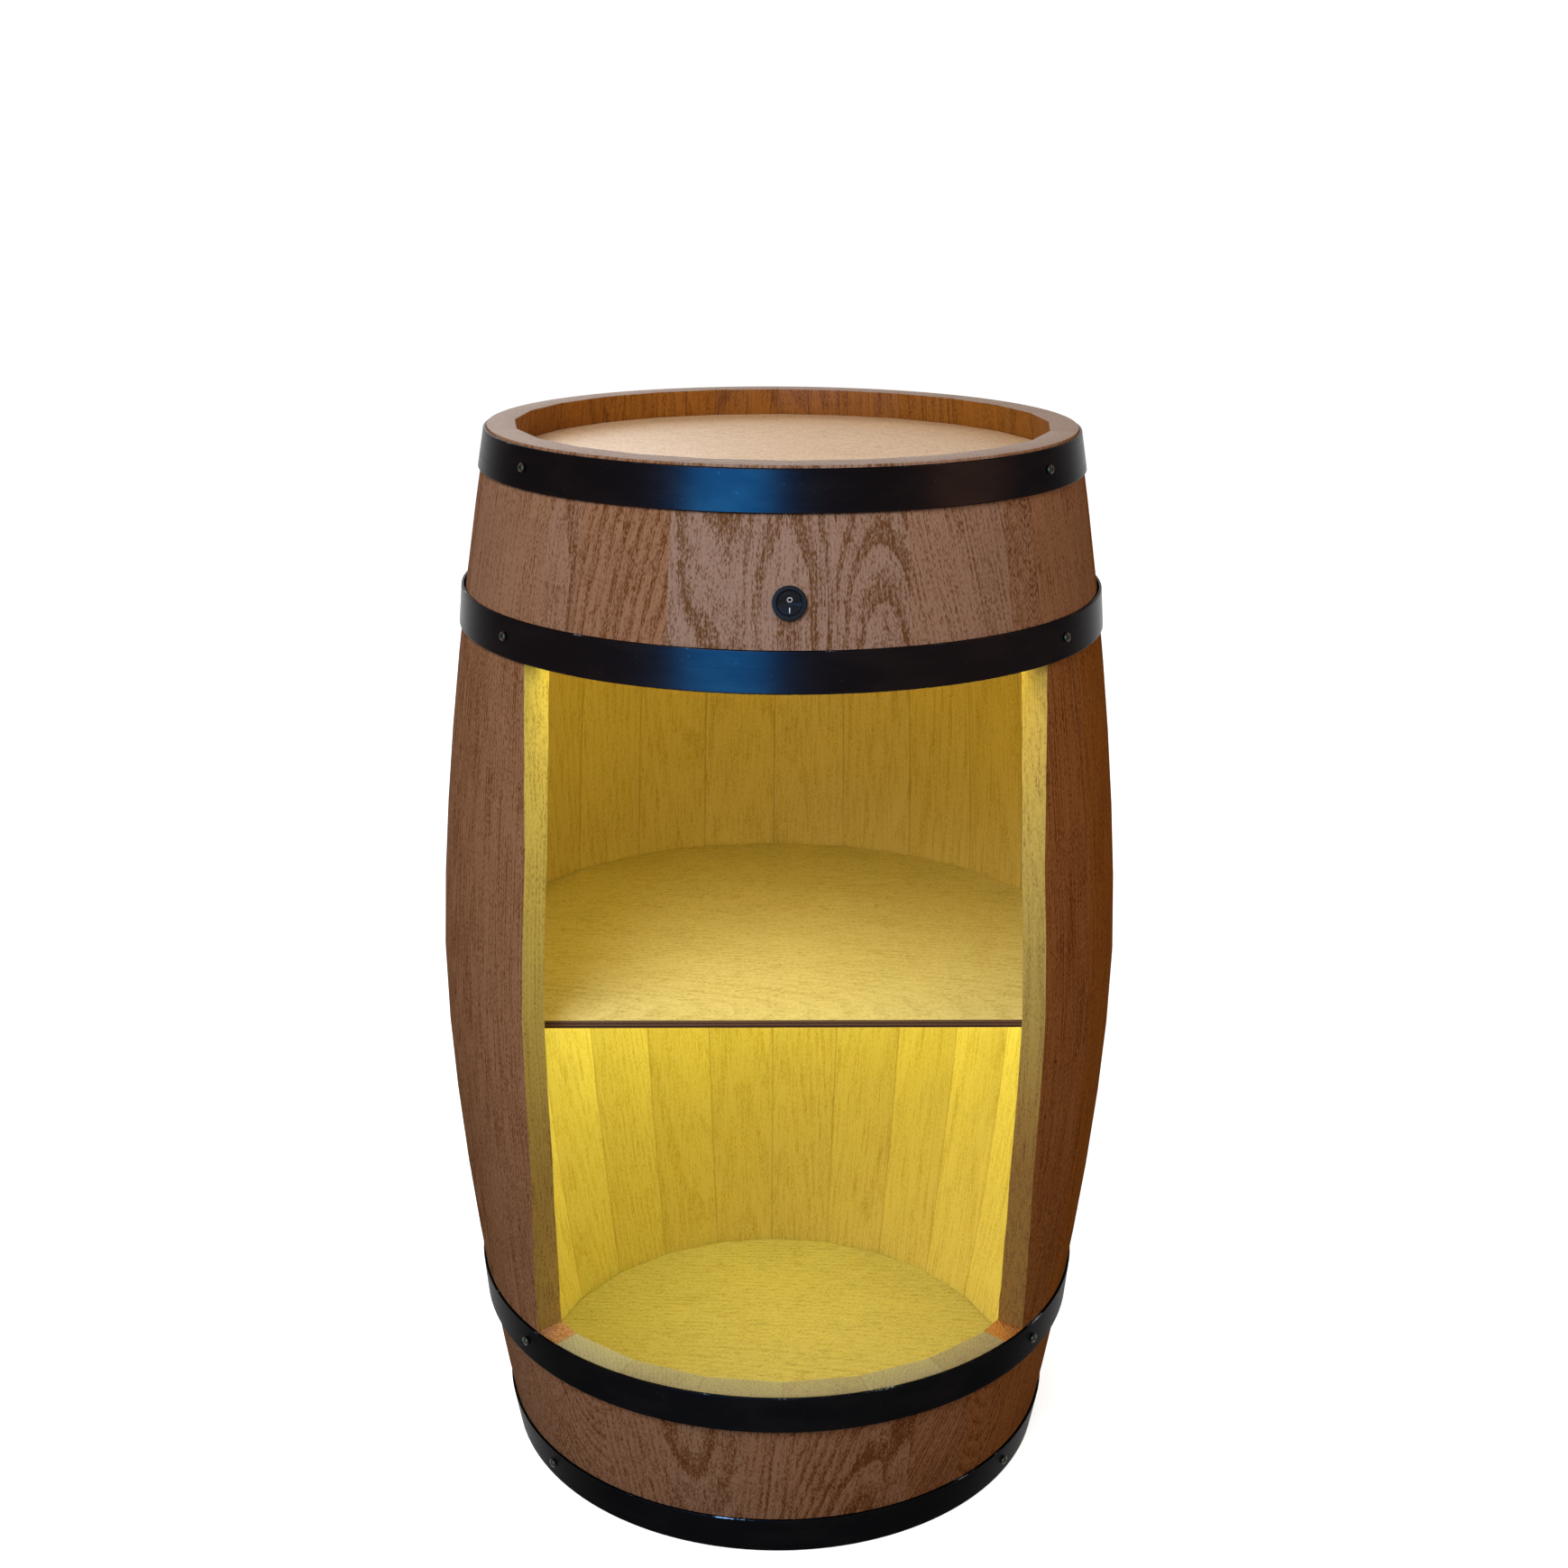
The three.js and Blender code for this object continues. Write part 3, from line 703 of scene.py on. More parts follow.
@dataclass(frozen=True)
class Wood(Finish):
    """Sawn wood in stain or varnish, read in the board's grain space.

    Each share says how much that part of the wood's figure shows.
    """

    relief: float = 0.12
    relief_depth: float = 0.0004
    streak_height: float = 0.5
    light: Colour = (0.362, 0.243, 0.197)
    dark: Colour = (0.148, 0.067, 0.028)
    toned: Colour = (0.90, 0.46, 0.04)
    ring_share: float = 0.66
    fleck_share: float = 1.0
    blotch_share: float = 0.24
    streak_share: float = 1.0
    pore_share: float = 0.35
    pore_tint: Colour = (0.50, 0.40, 0.31)
    pore_rough: float = 0.15
    line_tint: Colour = (0.36, 0.25, 0.17)
    joint_share: float = 0.0
    joint_edge: Stretch = (0.482, 0.4985)
    glue_share: float = 0.0
    glue_edge: Stretch = (0.004, 0.012)

    def build(self, nodes: Nodes) -> dict[str, object]:
        """Rings, flecks, blotches and streaks mix two colours, and pores and tone shade them."""
        grain = GRAIN.placed(nodes, Grain=nodes.attribute("grain"), Rings=nodes.attribute("rings"))
        share, own = nodes.parts(nodes.attribute("place"))[:2]
        rings = nodes.math("MULTIPLY", grain["Dark"], self.ring_share)
        streaks = nodes.spread(grain["Streaks"], -self.streak_share, self.streak_share)
        flecks = nodes.spread(grain["Flecks"], -self.fleck_share, self.fleck_share)
        blotch = nodes.math("MULTIPLY", grain["Blotch"], self.blotch_share)
        pores = nodes.math("MULTIPLY", grain["Pores"], self.pore_share)
        level = nodes.math("ADD", nodes.math("ADD", rings, streaks), nodes.math("ADD", flecks, blotch))
        level = nodes.add("Clamp", {0: level}).outputs[0]
        colour = nodes.mix("MIX", level, self.light, self.dark)
        colour = nodes.mix("MULTIPLY", self.tone(nodes, own), colour, self.toned)
        colour = nodes.mix("MULTIPLY", pores, colour, self.pore_tint)
        pore_rough = nodes.math("MULTIPLY", pores, self.pore_rough)
        height = nodes.math("MULTIPLY", grain["Streaks"], self.streak_height)
        return {
            "Base Color": self.lined(nodes, colour, share),
            "Roughness": nodes.math("ADD", self.rough(nodes, grain["Streaks"]), pore_rough),
            "Normal": self.bump(nodes, nodes.math("SUBTRACT", height, pores)),
        }

    def tone(self, nodes: Nodes, own: object) -> object:
        """How far the board takes its toned colour, from 0 to 1."""
        return own

    def lined(self, nodes: Nodes, colour: object, share: object) -> object:
        """Darkens a board along its joints and its glue line.

        Args:
            nodes: The material's nodes.
            colour: The wood's colour so far.
            share: Place across the board, in shares from -0.5 to 0.5.

        Returns:
            The colour with its lines.
        """
        if not (self.joint_share or self.glue_share):
            return colour
        across = nodes.math("ABSOLUTE", share)
        joint = nodes.step(across, self.joint_edge, 0.0, self.joint_share)
        glue = nodes.step(across, self.glue_edge, self.glue_share, 0.0)
        return nodes.mix("MULTIPLY", nodes.math("MAXIMUM", joint, glue), colour, self.line_tint)


@dataclass(frozen=True)
class SawnWood(Wood):
    """Sawn edge in the board's own tone, with painted shade that darkens it low down, round and below the
    shelf.
    """

    own_share: float = 0.8
    painted_shade_share: float = 0.4
    painted_shade_fade: Stretch = (0.24, 0.46)

    def tone(self, nodes: Nodes, own: object) -> object:
        """The board's own tone, and painted shade up to a height."""
        height = nodes.parts(nodes.place())[Z_AXIS]
        # Painted shade: darker below the shelf, fading out above it
        stain = nodes.step(height, self.painted_shade_fade, self.painted_shade_share, 0.0)
        both = nodes.math("ADD", nodes.math("MULTIPLY", own, self.own_share), stain)
        return nodes.add("Clamp", {0: both}).outputs[0]


@dataclass(frozen=True)
class PlyEdge(Finish):
    """Sawn edge of thin plywood, its layers counted up from the board's underside."""

    rougher: float = 0.12
    bottom: float = 0.0
    layer: float = 0.0012
    layer_edge: Stretch = (0.17, 0.31)
    layer_share: float = 0.7
    fibre: Pattern = Pattern(450.0, 450.0, 1800.0, 3.0)
    fibre_share: Stretch = (-0.2, 0.45)
    light: Colour = (0.19, 0.105, 0.062)
    dark: Colour = (0.040, 0.020, 0.014)

    def build(self, nodes: Nodes) -> dict[str, object]:
        """Layers alternate between end grain and long grain."""
        place = nodes.place()
        height = nodes.math("SUBTRACT", nodes.parts(place)[Z_AXIS], self.bottom)
        wave = nodes.math("PINGPONG", nodes.math("DIVIDE", height, 2 * self.layer), 0.5)
        layers = nodes.step(wave, self.layer_edge)
        fibre = nodes.noise(place, self.fibre)
        level = nodes.math("MULTIPLY", layers, self.layer_share)
        level = nodes.math("ADD", level, nodes.spread(fibre, *self.fibre_share))
        return {
            "Base Color": nodes.mix("MIX", level, self.light, self.dark),
            "Roughness": self.rough(nodes, fibre),
            "Normal": self.bump(nodes, nodes.math("SUBTRACT", fibre, layers)),
        }


@dataclass(frozen=True)
class PaintedSteel(Finish):
    """Blackened steel band, with streaks round it and edges rubbed to bare steel."""

    smoother: float = 0.06
    rougher: float = 0.06
    relief: float = 0.25
    relief_depth: float = 0.00012
    colour: Colour = (0.0062, 0.0045, 0.0050)
    brown: Colour = (0.0088, 0.0060, 0.0060)
    bare: Colour = (0.24, 0.245, 0.26)
    edge_tint: float = 0.52
    wear: float = 0.33
    cloud: Pattern = Pattern(22.0, 22.0, 60.0, 4.0)
    cloud_edge: Stretch = (0.40, 0.72)
    streaks: Pattern = Pattern(9.0, 9.0, 1500.0, 3.0)
    streak_height: float = 0.6
    fine: Pattern = even(2600.0)
    fine_rough: float = 0.05
    dust: Colour = (0.11, 0.105, 0.10)
    dust_share: float = 0.06
    dust_scale: float = 260.0

    def build(self, nodes: Nodes) -> dict[str, object]:
        """Streaks run round the band, so they are close together up it."""
        place, edge = nodes.place(), nodes.attribute("edge", "Fac")
        cloud = nodes.step(nodes.noise(place, self.cloud), self.cloud_edge)
        streaks = nodes.noise(place, self.streaks)
        fine = nodes.noise(place, self.fine)
        worn = WEAR.placed(nodes, Edge=edge, Place=place, Amount=self.wear)["Mask"]
        dust = SPECKS.placed(nodes, Place=place, Scale=self.dust_scale)["Mask"]
        colour = nodes.mix("MIX", cloud, self.colour, self.brown)
        colour = nodes.mix("MIX", nodes.math("MULTIPLY", dust, self.dust_share), colour, self.dust)
        fine_rough = nodes.spread(fine, -self.fine_rough, self.fine_rough)
        streak_height = nodes.math("MULTIPLY", streaks, self.streak_height)
        fine_height = nodes.math("MULTIPLY", fine, 1.0 - self.streak_height)
        return {
            "Base Color": nodes.mix("MIX", worn, colour, self.bare),
            "Metallic": 1.0,
            "Specular Tint": (self.edge_tint,) * 3,
            "Roughness": nodes.math("ADD", self.rough(nodes, streaks), fine_rough),
            "Normal": self.bump(nodes, nodes.math("ADD", streak_height, fine_height)),
        }


@dataclass(frozen=True)
class BareSteel(Finish):
    """Small steel parts, blackened or plated, lightly scratched."""

    rougher: float = 0.15
    relief_depth: float = 0.00005
    colour: Colour = (0.56, 0.56, 0.58)
    second: Colour = (0.44, 0.44, 0.46)
    cloud: Pattern = even(500.0, 3.0)
    scratch: Pattern = Pattern(5200.0, 900.0, 2600.0)

    def build(self, nodes: Nodes) -> dict[str, object]:
        """Fine scratches and clouding, metallic all over."""
        place = nodes.place()
        scratch = nodes.noise(place, self.scratch)
        return {
            "Base Color": nodes.mix("MIX", nodes.noise(place, self.cloud), self.colour, self.second),
            "Metallic": 1.0,
            "Roughness": self.rough(nodes, scratch),
            "Normal": self.bump(nodes, scratch),
        }


@dataclass(frozen=True)
class Moulded(Finish):
    """Moulded plastic or silicone with a fine spark-eroded texture."""

    smoother: float = 0.08
    rougher: float = 0.08
    relief: float = 0.2
    relief_depth: float = 0.00006
    colour: Colour = (0.012, 0.012, 0.013)
    second: Colour = (0.020, 0.020, 0.022)
    cloud: Pattern = even(160.0, 3.0)
    fine: Pattern = even(3800.0)

    def build(self, nodes: Nodes) -> dict[str, object]:
        """A fine even texture, with slow clouding in the colour."""
        place = nodes.place()
        cloud = nodes.noise(place, self.cloud)
        return {
            "Base Color": nodes.mix("MIX", cloud, self.colour, self.second),
            "Roughness": self.rough(nodes, cloud),
            "Normal": self.bump(nodes, nodes.noise(place, self.fine)),
        }


@dataclass(frozen=True)
class Glowing(Moulded):
    """Milky silicone over a row of small lamps."""

    colour: Colour = (0.80, 0.74, 0.50)
    second: Colour = (0.74, 0.68, 0.44)
    glow: Colour = (1.0, 0.86, 0.22)
    dim_glow: Colour = (0.70, 0.60, 0.15)
    dim_edge: Stretch = (0.2, 0.8)
    dim_share: float = 0.35
    strength: float = 70.0

    def build(self, nodes: Nodes) -> dict[str, object]:
        """The glow is a little stronger over each lamp than between two."""
        between = nodes.math("PINGPONG", nodes.attribute("along", "Fac"), 1.0)
        dim = nodes.step(between, self.dim_edge, 0.0, self.dim_share)
        return {
            **super().build(nodes),
            "Emission Color": nodes.mix("MIX", dim, self.glow, self.dim_glow),
            "Emission Strength": self.strength,
        }


STAINED = Wood("stained_outside", roughness=0.52, specular=0.0)
INSIDE = Wood(
    "bare_inside",
    roughness=0.58,
    specular=0.02,
    light=(0.60, 0.485, 0.165),
    dark=(0.43, 0.32, 0.070),
    toned=(0.92, 0.86, 0.74),
    ring_share=0.35,
    fleck_share=0.7,
    pore_share=0.25,
    blotch_share=0.15,
    joint_share=0.35,
)
RIM_INSIDE = Wood(
    "stained_rim_inside",
    roughness=0.50,
    specular=0.08,
    light=(0.33, 0.125, 0.016),
    dark=(0.15, 0.050, 0.006),
    toned=(0.88, 0.84, 0.80),
    ring_share=0.6,
    fleck_share=0.8,
    joint_share=0.40,
    glue_share=0.45,
)
END_GRAIN = Wood(
    "end_grain",
    roughness=0.6,
    specular=0.15,
    light=(0.345, 0.250, 0.202),
    dark=(0.220, 0.148, 0.108),
    toned=(0.90, 0.82, 0.74),
    ring_share=0.6,
    fleck_share=0.8,
    joint_share=0.25,
)
LIP = replace(
    END_GRAIN,
    name="lip",
    light=(0.250, 0.212, 0.166),
    dark=(0.158, 0.124, 0.082),
    toned=(0.74, 0.60, 0.52),
)
SAWN = SawnWood(
    "sawn_edge",
    roughness=0.6,
    specular=0.1,
    light=(0.70, 0.66, 0.19),
    dark=(0.34, 0.27, 0.070),
    toned=(0.43, 0.25, 0.21),
    ring_share=0.3,
    fleck_share=0.8,
    pore_share=0.35,
    blotch_share=0.2,
)
PALE_BOARD = Wood(
    "pale_board",
    roughness=0.44,
    specular=0.25,
    light=(0.70, 0.475, 0.275),
    dark=(0.46, 0.27, 0.125),
    ring_share=0.35,
    fleck_share=1.5,
    pore_share=0.5,
    blotch_share=0.2,
)
SHELF_FACE = Wood(
    "shelf_face",
    roughness=0.45,
    specular=0.05,
    light=(0.66, 0.60, 0.27),
    dark=(0.46, 0.385, 0.135),
    ring_share=0.35,
    fleck_share=0.9,
    pore_share=0.35,
    blotch_share=0.2,
)
# Barrel floor: the shelf's face made darker, as painted shade
SHADED_FLOOR_FACE = replace(
    SHELF_FACE, name="shaded_floor_face", light=(0.30, 0.23, 0.09), dark=(0.20, 0.14, 0.05)
)
PLY_EDGE = PlyEdge("ply_edge", roughness=0.6, specular=0.02)
HOOP_PAINT = PaintedSteel("black_hoop_paint", roughness=0.27)
# The hoop paint for the lower two hoops, rougher and darkened by painted shade
SHADED_LOW_HOOP_PAINT = replace(
    HOOP_PAINT,
    name="shaded_low_hoop_paint",
    roughness=0.42,
    colour=(0.0028, 0.0027, 0.0030),
    brown=(0.0044, 0.0038, 0.0038),
    edge_tint=0.50,
)
BLACK_SCREW = BareSteel(
    "black_screw", roughness=0.30, colour=(0.016, 0.012, 0.007), second=(0.034, 0.026, 0.015)
)
PLATED = BareSteel("plated_steel", roughness=0.30)
SWITCH_BLACK = Moulded("switch_plastic_black", roughness=0.42, specular=0.03)
PAINT_WHITE = Moulded("mark_white", colour=(0.78, 0.80, 0.82), second=(0.70, 0.73, 0.76))
SHEATH = Moulded("lead_black", colour=(0.014, 0.014, 0.014))
UPPER_GLOW = Glowing("upper_glow")
LOWER_GLOW = Glowing("lower_glow", glow=(0.88, 1.0, 0.44), dim_glow=(0.62, 0.70, 0.31), strength=212.0)


def coat(piece: bpy.types.Object, *finishes: Finish) -> None:
    """Gives a piece its finishes, in the order of its slots."""
    piece.data.materials.clear()
    for finish in finishes:
        piece.data.materials.append(finish.material())


# The barrel's own shape


@dataclass(frozen=True)
class Barrel:
    """Sizes that the staves, hoops and boards share."""

    axis: float
    height: float = 0.800
    belly_height: float = 0.400
    belly_radius: float = 0.2595
    top_radius: float = 0.220
    bottom_radius: float = 0.2075
    bulge_power: float = 1.64
    stave_count: int = 24
    thickness: float = 0.020
    level_count: int = 14
    fit_gap: float = 0.0003

    @property
    def pitch(self) -> float:
        """Angle that one stave takes."""
        return 360.0 / self.stave_count

    @property
    def level_step(self) -> float:
        """Height between two levels."""
        return self.height / self.level_count

    def turned_radius(self, height: float) -> float:
        """Radius of the turned outside at a height."""
        above = height > self.belly_height
        reach = self.height - self.belly_height if above else self.belly_height
        drop = self.belly_radius - (self.top_radius if above else self.bottom_radius)
        return self.belly_radius - drop * (abs(height - self.belly_height) / reach) ** self.bulge_power

    def slope(self, height: float) -> float:
        """Growth of the radius with height on the stretch that holds a height."""
        low = math.floor(height / self.level_step) * self.level_step
        return (self.turned_radius(low + self.level_step) - self.turned_radius(low)) / self.level_step

    def outer(self, height: float) -> float:
        """Outside radius, straight from one level to the next as on the solids."""
        low = math.floor(height / self.level_step) * self.level_step
        return self.turned_radius(low) + self.slope(height) * (height - low)

    def inner(self, height: float) -> float:
        """Radius of the corners between the flat inside faces."""
        return self.outer(height) - self.thickness

    def facet(self, height: float) -> float:
        """Distance from the axis to the middle of a flat inside face."""
        return self.inner(height) * math.cos(math.radians(self.pitch / 2))

    def point(self, radius: float, angle: float, height: float) -> Vector:
        """Point at a radius, an angle and a height."""
        turn = math.radians(angle)
        return Vector((radius * math.sin(turn), self.axis - radius * math.cos(turn), height))

    def facet_point(self, angle: float, height: float, inset: float) -> Vector:
        """Point a given distance inside the flat inside face at an angle."""
        middle = (math.floor(angle / self.pitch) + 0.5) * self.pitch
        radius = (self.facet(height) - inset) / math.cos(math.radians(angle - middle))
        return self.point(radius, angle, height)

    def read(self, place: Vector) -> tuple[float, float]:
        """Radius and angle of a point, the angle from -180 to 180."""
        across, back = place.x, place.y - self.axis
        return math.hypot(across, back), math.degrees(math.atan2(across, -back))

    @property
    def centre(self) -> Matrix:
        """Move from the origin to the barrel's axis."""
        return shift(y=self.axis)

    def turn(self, angle: float) -> Matrix:
        """Turn round the barrel's axis."""
        return self.centre @ rotation(angle) @ shift(y=-self.axis)

    def surface(self, angle: float, height: float) -> Matrix:
        """Frame on the outside: X round the barrel, Y up the stave, Z straight out."""
        lean = math.atan(-self.slope(height))
        turn = math.radians(angle)
        across = Vector((math.cos(turn), math.sin(turn), 0.0))
        level = Vector((math.sin(turn), -math.cos(turn), 0.0))
        out = level * math.cos(lean) + Vector((0.0, 0.0, math.sin(lean)))
        place = self.point(self.outer(height), angle, height)
        return frame_at(place, across, out.cross(across), out)


@dataclass(frozen=True)
class Figure:
    """How the growth rings meet the face of one board.

    Args:
        centre: Middle of the figure, an angle on a stave and a distance across on a flat board.
        tip: Place along the board where the depth holds.
        depth: Distance from the pith to the face there.
        rise: Growth of that distance along the board.
        spacing: Width of a ring.
        lean: Shift of the figure across the board on the way along it.
        over: 1 where a ring fades the other way round.
        strength: Share of rings and blotches that shows.
        tone: How far the board takes its toned colour, partly its own and partly painted shade on the
            flanks.
        shift: Move along the grain, so that boards differ.
    """

    centre: float
    tip: float
    depth: float = 0.036
    rise: float = 0.10
    spacing: float = 0.006
    lean: float = 0.0
    over: float = 0.0
    strength: float = 1.0
    tone: float = 0.0
    shift: float = 0.0

    def grain(self, across: float, below: float, along: float) -> tuple[float, float, float]:
        """Place of a point in grain space, where rings lie round the third axis."""
        leaning = across - self.lean * (along - self.tip)
        from_pith = self.depth + self.rise * (along - self.tip) + below
        return leaning, from_pith, along + self.shift


@dataclass(frozen=True)
class Band:
    """Stretch of the outside that shows one figure."""

    start: float
    end: float
    figure: Figure


def keep_grain(
    piece: bpy.types.Object,
    choose: Callable[[Vector], Figure],
    read: Callable[[Vector, Figure], BoardPlace],
) -> None:
    """Keeps what the wood finishes read of each corner.

    Args:
        piece: The wooden piece.
        choose: Gives the figure at a face's middle.
        read: Gives a point's place in the board in metres, and its share of the way across.
    """
    grains, places, rings = [], [], []
    points = piece.data.vertices
    for face in piece.data.polygons:
        figure = choose(face.center)
        for index in face.vertices:
            board, share = read(points[index].co, figure)
            grains.append(figure.grain(*board))
            places.append((share, figure.tone, 0.0))
            rings.append((figure.spacing, figure.over, figure.strength))
    write_vectors(piece, "grain", grains)
    write_vectors(piece, "place", places)
    write_vectors(piece, "rings", rings)


@dataclass
class Staves:
    """The bent staves: tall ones round the back, and short ones over and under the opening."""

    barrel: Barrel
    opening_bottom: float = 0.140
    opening_top: float = 0.657
    opening_half: float = 0.180
    front_half: float = 45.0
    columns: int = 6
    rim_round: float = 0.0008
    lip_round: float = 0.0012
    lip_depth: float = 0.004
    head_top: float = 0.7785
    floor_top: float = 0.023
    head_thickness: float = 0.012
    shoulder: float = 0.003
    croze_depth: float = 0.005
    overrun: float = 0.005
    end_facing: float = 0.55
    side_tone: Stretch = (0.60, 0.70)
    # Tone that grows with the sine of a tall stave's angle: painted shade, darker and redder on the right
    # flank, paler on the left
    painted_side_shade_swing: float = 0.23
    figure_off: Stretch = (0.0, 14.0)
    figure_tip: Stretch = (0.2, 0.6)
    figure_depth: Stretch = (0.030, 0.055)
    figure_rise: Stretch = (0.03, 0.09)
    figure_spacing: Stretch = (0.004, 0.008)
    figure_strength: float = 0.8
    figure_shift: Stretch = (0.0, 9.0)
    quiet_staves: int = 2
    quiet_off: Stretch = (14.0, 22.0)
    quiet_rise: float = 0.02
    quiet_spacing: Stretch = (0.0024, 0.0034)
    quiet_strength: float = 0.65
    upper_figures_from: float = 0.667
    lower_figures_to: float = 0.126
    # Band tones grow towards the sides, most on the right below the opening: partly the boards' own tone,
    # partly painted shade of the flanks
    upper: tuple[Band, ...] = (
        Band(-75.0, -45.0, Figure(-80.0, 0.7000, 0.036, 0.02, 0.0030, strength=0.4, tone=0.42)),
        Band(-45.0, -37.5, Figure(-42.6, 0.7900, 0.039, 0.032, 0.0065, strength=0.8, tone=0.32)),
        Band(-37.5, -20.0, Figure(-8.0, 0.7200, 0.036, 0.10, 0.0085, 0.20, strength=0.8, tone=0.46)),
        Band(-20.0, -7.5, Figure(-10.6, 0.7404, 0.036, -0.14, 0.0120, over=1.0)),
        Band(-7.5, 7.5, Figure(-0.3, 0.7750, 0.036, 0.048, 0.0060, strength=0.9)),
        Band(7.5, 20.0, Figure(15.2, 0.7513, 0.036, 0.14, 0.0060, tone=0.05)),
        Band(20.0, 40.0, Figure(55.0, 0.7200, 0.036, 0.03, 0.0040, -0.12, strength=0.5, tone=0.22)),
        Band(40.0, 47.5, Figure(45.8, 0.7317, 0.020, -0.16, 0.00095, over=1.0, tone=0.40)),
        Band(47.5, 75.0, Figure(85.0, 0.7000, 0.036, 0.02, 0.0034, strength=0.35, tone=0.52)),
    )
    lower: tuple[Band, ...] = (
        Band(-75.0, -35.0, Figure(-34.5, 0.0700, 0.058, -0.30, 0.0032, over=1.0, strength=0.8, tone=0.46)),
        Band(-35.0, -22.5, Figure(-50.0, 0.0850, 0.036, 0.10, 0.0050, strength=0.7, tone=0.46)),
        Band(-22.5, -7.5, Figure(-16.5, 0.0620, 0.035, -0.16, 0.0090, over=1.0, tone=0.40)),
        Band(-7.5, 2.5, Figure(25.0, 0.0600, 0.036, 0.04, 0.0058, strength=0.7, tone=0.45)),
        Band(2.5, 20.0, Figure(17.4, 0.0802, 0.036, 0.14, 0.0060, 0.15, tone=0.50)),
        Band(20.0, 25.0, Figure(23.0, 0.0970, 0.036, 0.05, 0.0060, 0.05, tone=0.50)),
        Band(25.0, 37.5, Figure(55.0, 0.0600, 0.036, 0.05, 0.0036, 0.35, tone=0.60)),
        Band(37.5, 47.5, Figure(42.0, 0.0850, 0.030, -0.20, 0.0030, over=1.0, strength=0.7, tone=0.75)),
        Band(47.5, 75.0, Figure(85.0, 0.0600, 0.036, 0.02, 0.0030, strength=0.6, tone=0.80)),
    )
    flame_stave: int = 16
    flame: Figure = Figure(-70.0, 0.30, 0.030, -0.05, 0.0024, over=1.0, strength=0.8, tone=0.55)

    @property
    def tall_count(self) -> int:
        """How many staves run the full height."""
        return round((360.0 - 2 * self.front_half) / self.barrel.pitch)

    def heights(self, bottom: float, top: float) -> list[float]:
        """Levels between the ends of a stretch of stave."""
        barrel = self.barrel
        levels = [i * barrel.level_step for i in range(1, barrel.level_count)]
        levels += [self.lower_figures_to, self.upper_figures_from]
        return [level for level in sorted(levels) if bottom + NEAR < level < top - NEAR]

    def board(self, name: str, bottom: float, top: float) -> bpy.types.Object:
        """Straight board one pitch wide, marked off and bent to the barrel's shape.

        Args:
            name: Name of the piece.
            bottom: Height of its lower end.
            top: Height of its upper end.

        Returns:
            The bent board, its middle at the front.
        """
        piece = block(name, (-0.5, 0.0, bottom), (0.5, 1.0, top))
        with editing(piece):
            cut_across(self.heights(bottom, top), Z_AXIS)
            cut_across([i / self.columns - 0.5 for i in range(1, self.columns)], X_AXIS)
        reshape(piece, self.bent)
        return piece

    def bent(self, place: Vector) -> Vector:
        """Where a point of the straight board lies once it is bent.

        Args:
            place: Share across the board, share of its thickness, and height.

        Returns:
            The point on the barrel.
        """
        barrel = self.barrel
        share, deep, height = place
        angle = share * barrel.pitch
        outside = barrel.outer(height)
        inside = barrel.facet(height) / math.cos(math.radians(angle))
        return barrel.point(outside + (inside - outside) * deep, angle, height)

    def croze(self, board_top: float) -> bpy.types.Object:
        """Ring that cuts the groove for a head board's edge."""
        barrel = self.barrel
        low = board_top - self.head_thickness + self.shoulder
        high = board_top - self.shoulder
        outside = barrel.inner((low + high) / 2) + self.croze_depth
        inside = outside - 3 * self.croze_depth
        gap = barrel.fit_gap
        profile = [
            (inside, low - gap),
            (outside, low - gap),
            (outside, high + gap),
            (inside, high + gap),
            (inside, low - gap),
        ]
        ring = turned("croze_cutter", profile, 3 * barrel.stave_count)
        ring.data.transform(barrel.centre)
        return ring

    def opening(self) -> bpy.types.Object:
        """Cutter for the opening, upright at its sides and no narrower than the front staves."""
        barrel = self.barrel
        cutter = block("opening_cutter", (-1.0, 0.0, self.opening_bottom), (1.0, 1.0, self.opening_top))
        with editing(cutter):
            cut_across(self.heights(self.opening_bottom, self.opening_top), Z_AXIS)
            cut_across([0.0], X_AXIS)
        far = barrel.belly_radius + self.overrun

        def place(point: Vector) -> Vector:
            """Spreads the block to the opening's angles."""
            sawn = math.degrees(math.asin(self.opening_half / barrel.outer(point.z)))
            half = max(self.front_half, sawn)
            return barrel.point(far / 2 + far / 2 * (1.0 - point.y), half * point.x, point.z)

        reshape(cutter, place)
        return cutter

    def dress_faces(self, piece: bpy.types.Object) -> None:
        """Gives each face of a stave the finish of its side."""
        barrel = self.barrel
        coat(piece, STAINED, INSIDE, END_GRAIN, SAWN, RIM_INSIDE, LIP)
        for face in piece.data.polygons:
            radius, angle = barrel.read(face.center)
            level = barrel.point(1.0, angle, 0.0) - barrel.point(0.0, angle, 0.0)
            outward = face.normal.dot(level)
            level_face = abs(face.normal.z) > self.end_facing
            if level_face and abs(face.center.z - self.opening_bottom) < self.lip_depth:
                side = Side.OUTSIDE if abs(angle) > self.front_half else Side.LIP
            elif level_face:
                side = Side.END
            elif outward > FACING:
                side = Side.OUTSIDE
            elif outward < -FACING:
                side = Side.RIM if face.center.z > self.head_top - self.shoulder else Side.INSIDE
            else:
                side = Side.SAWN
            face.material_index = side.value

    def finish(self, piece: bpy.types.Object, angle: float, own: Figure, node: str) -> None:
        """Shades, dresses and names one stave.

        Args:
            piece: The stave.
            angle: Angle of its middle.
            own: How its rings lie outside the bands.
            node: The CAD node it stands for.
        """
        barrel = self.barrel

        def off(place: Vector, start: float) -> float:
            """Angle of a point from a start, between -180 and 180."""
            return (barrel.read(place)[1] - start + 180.0) % 360.0 - 180.0

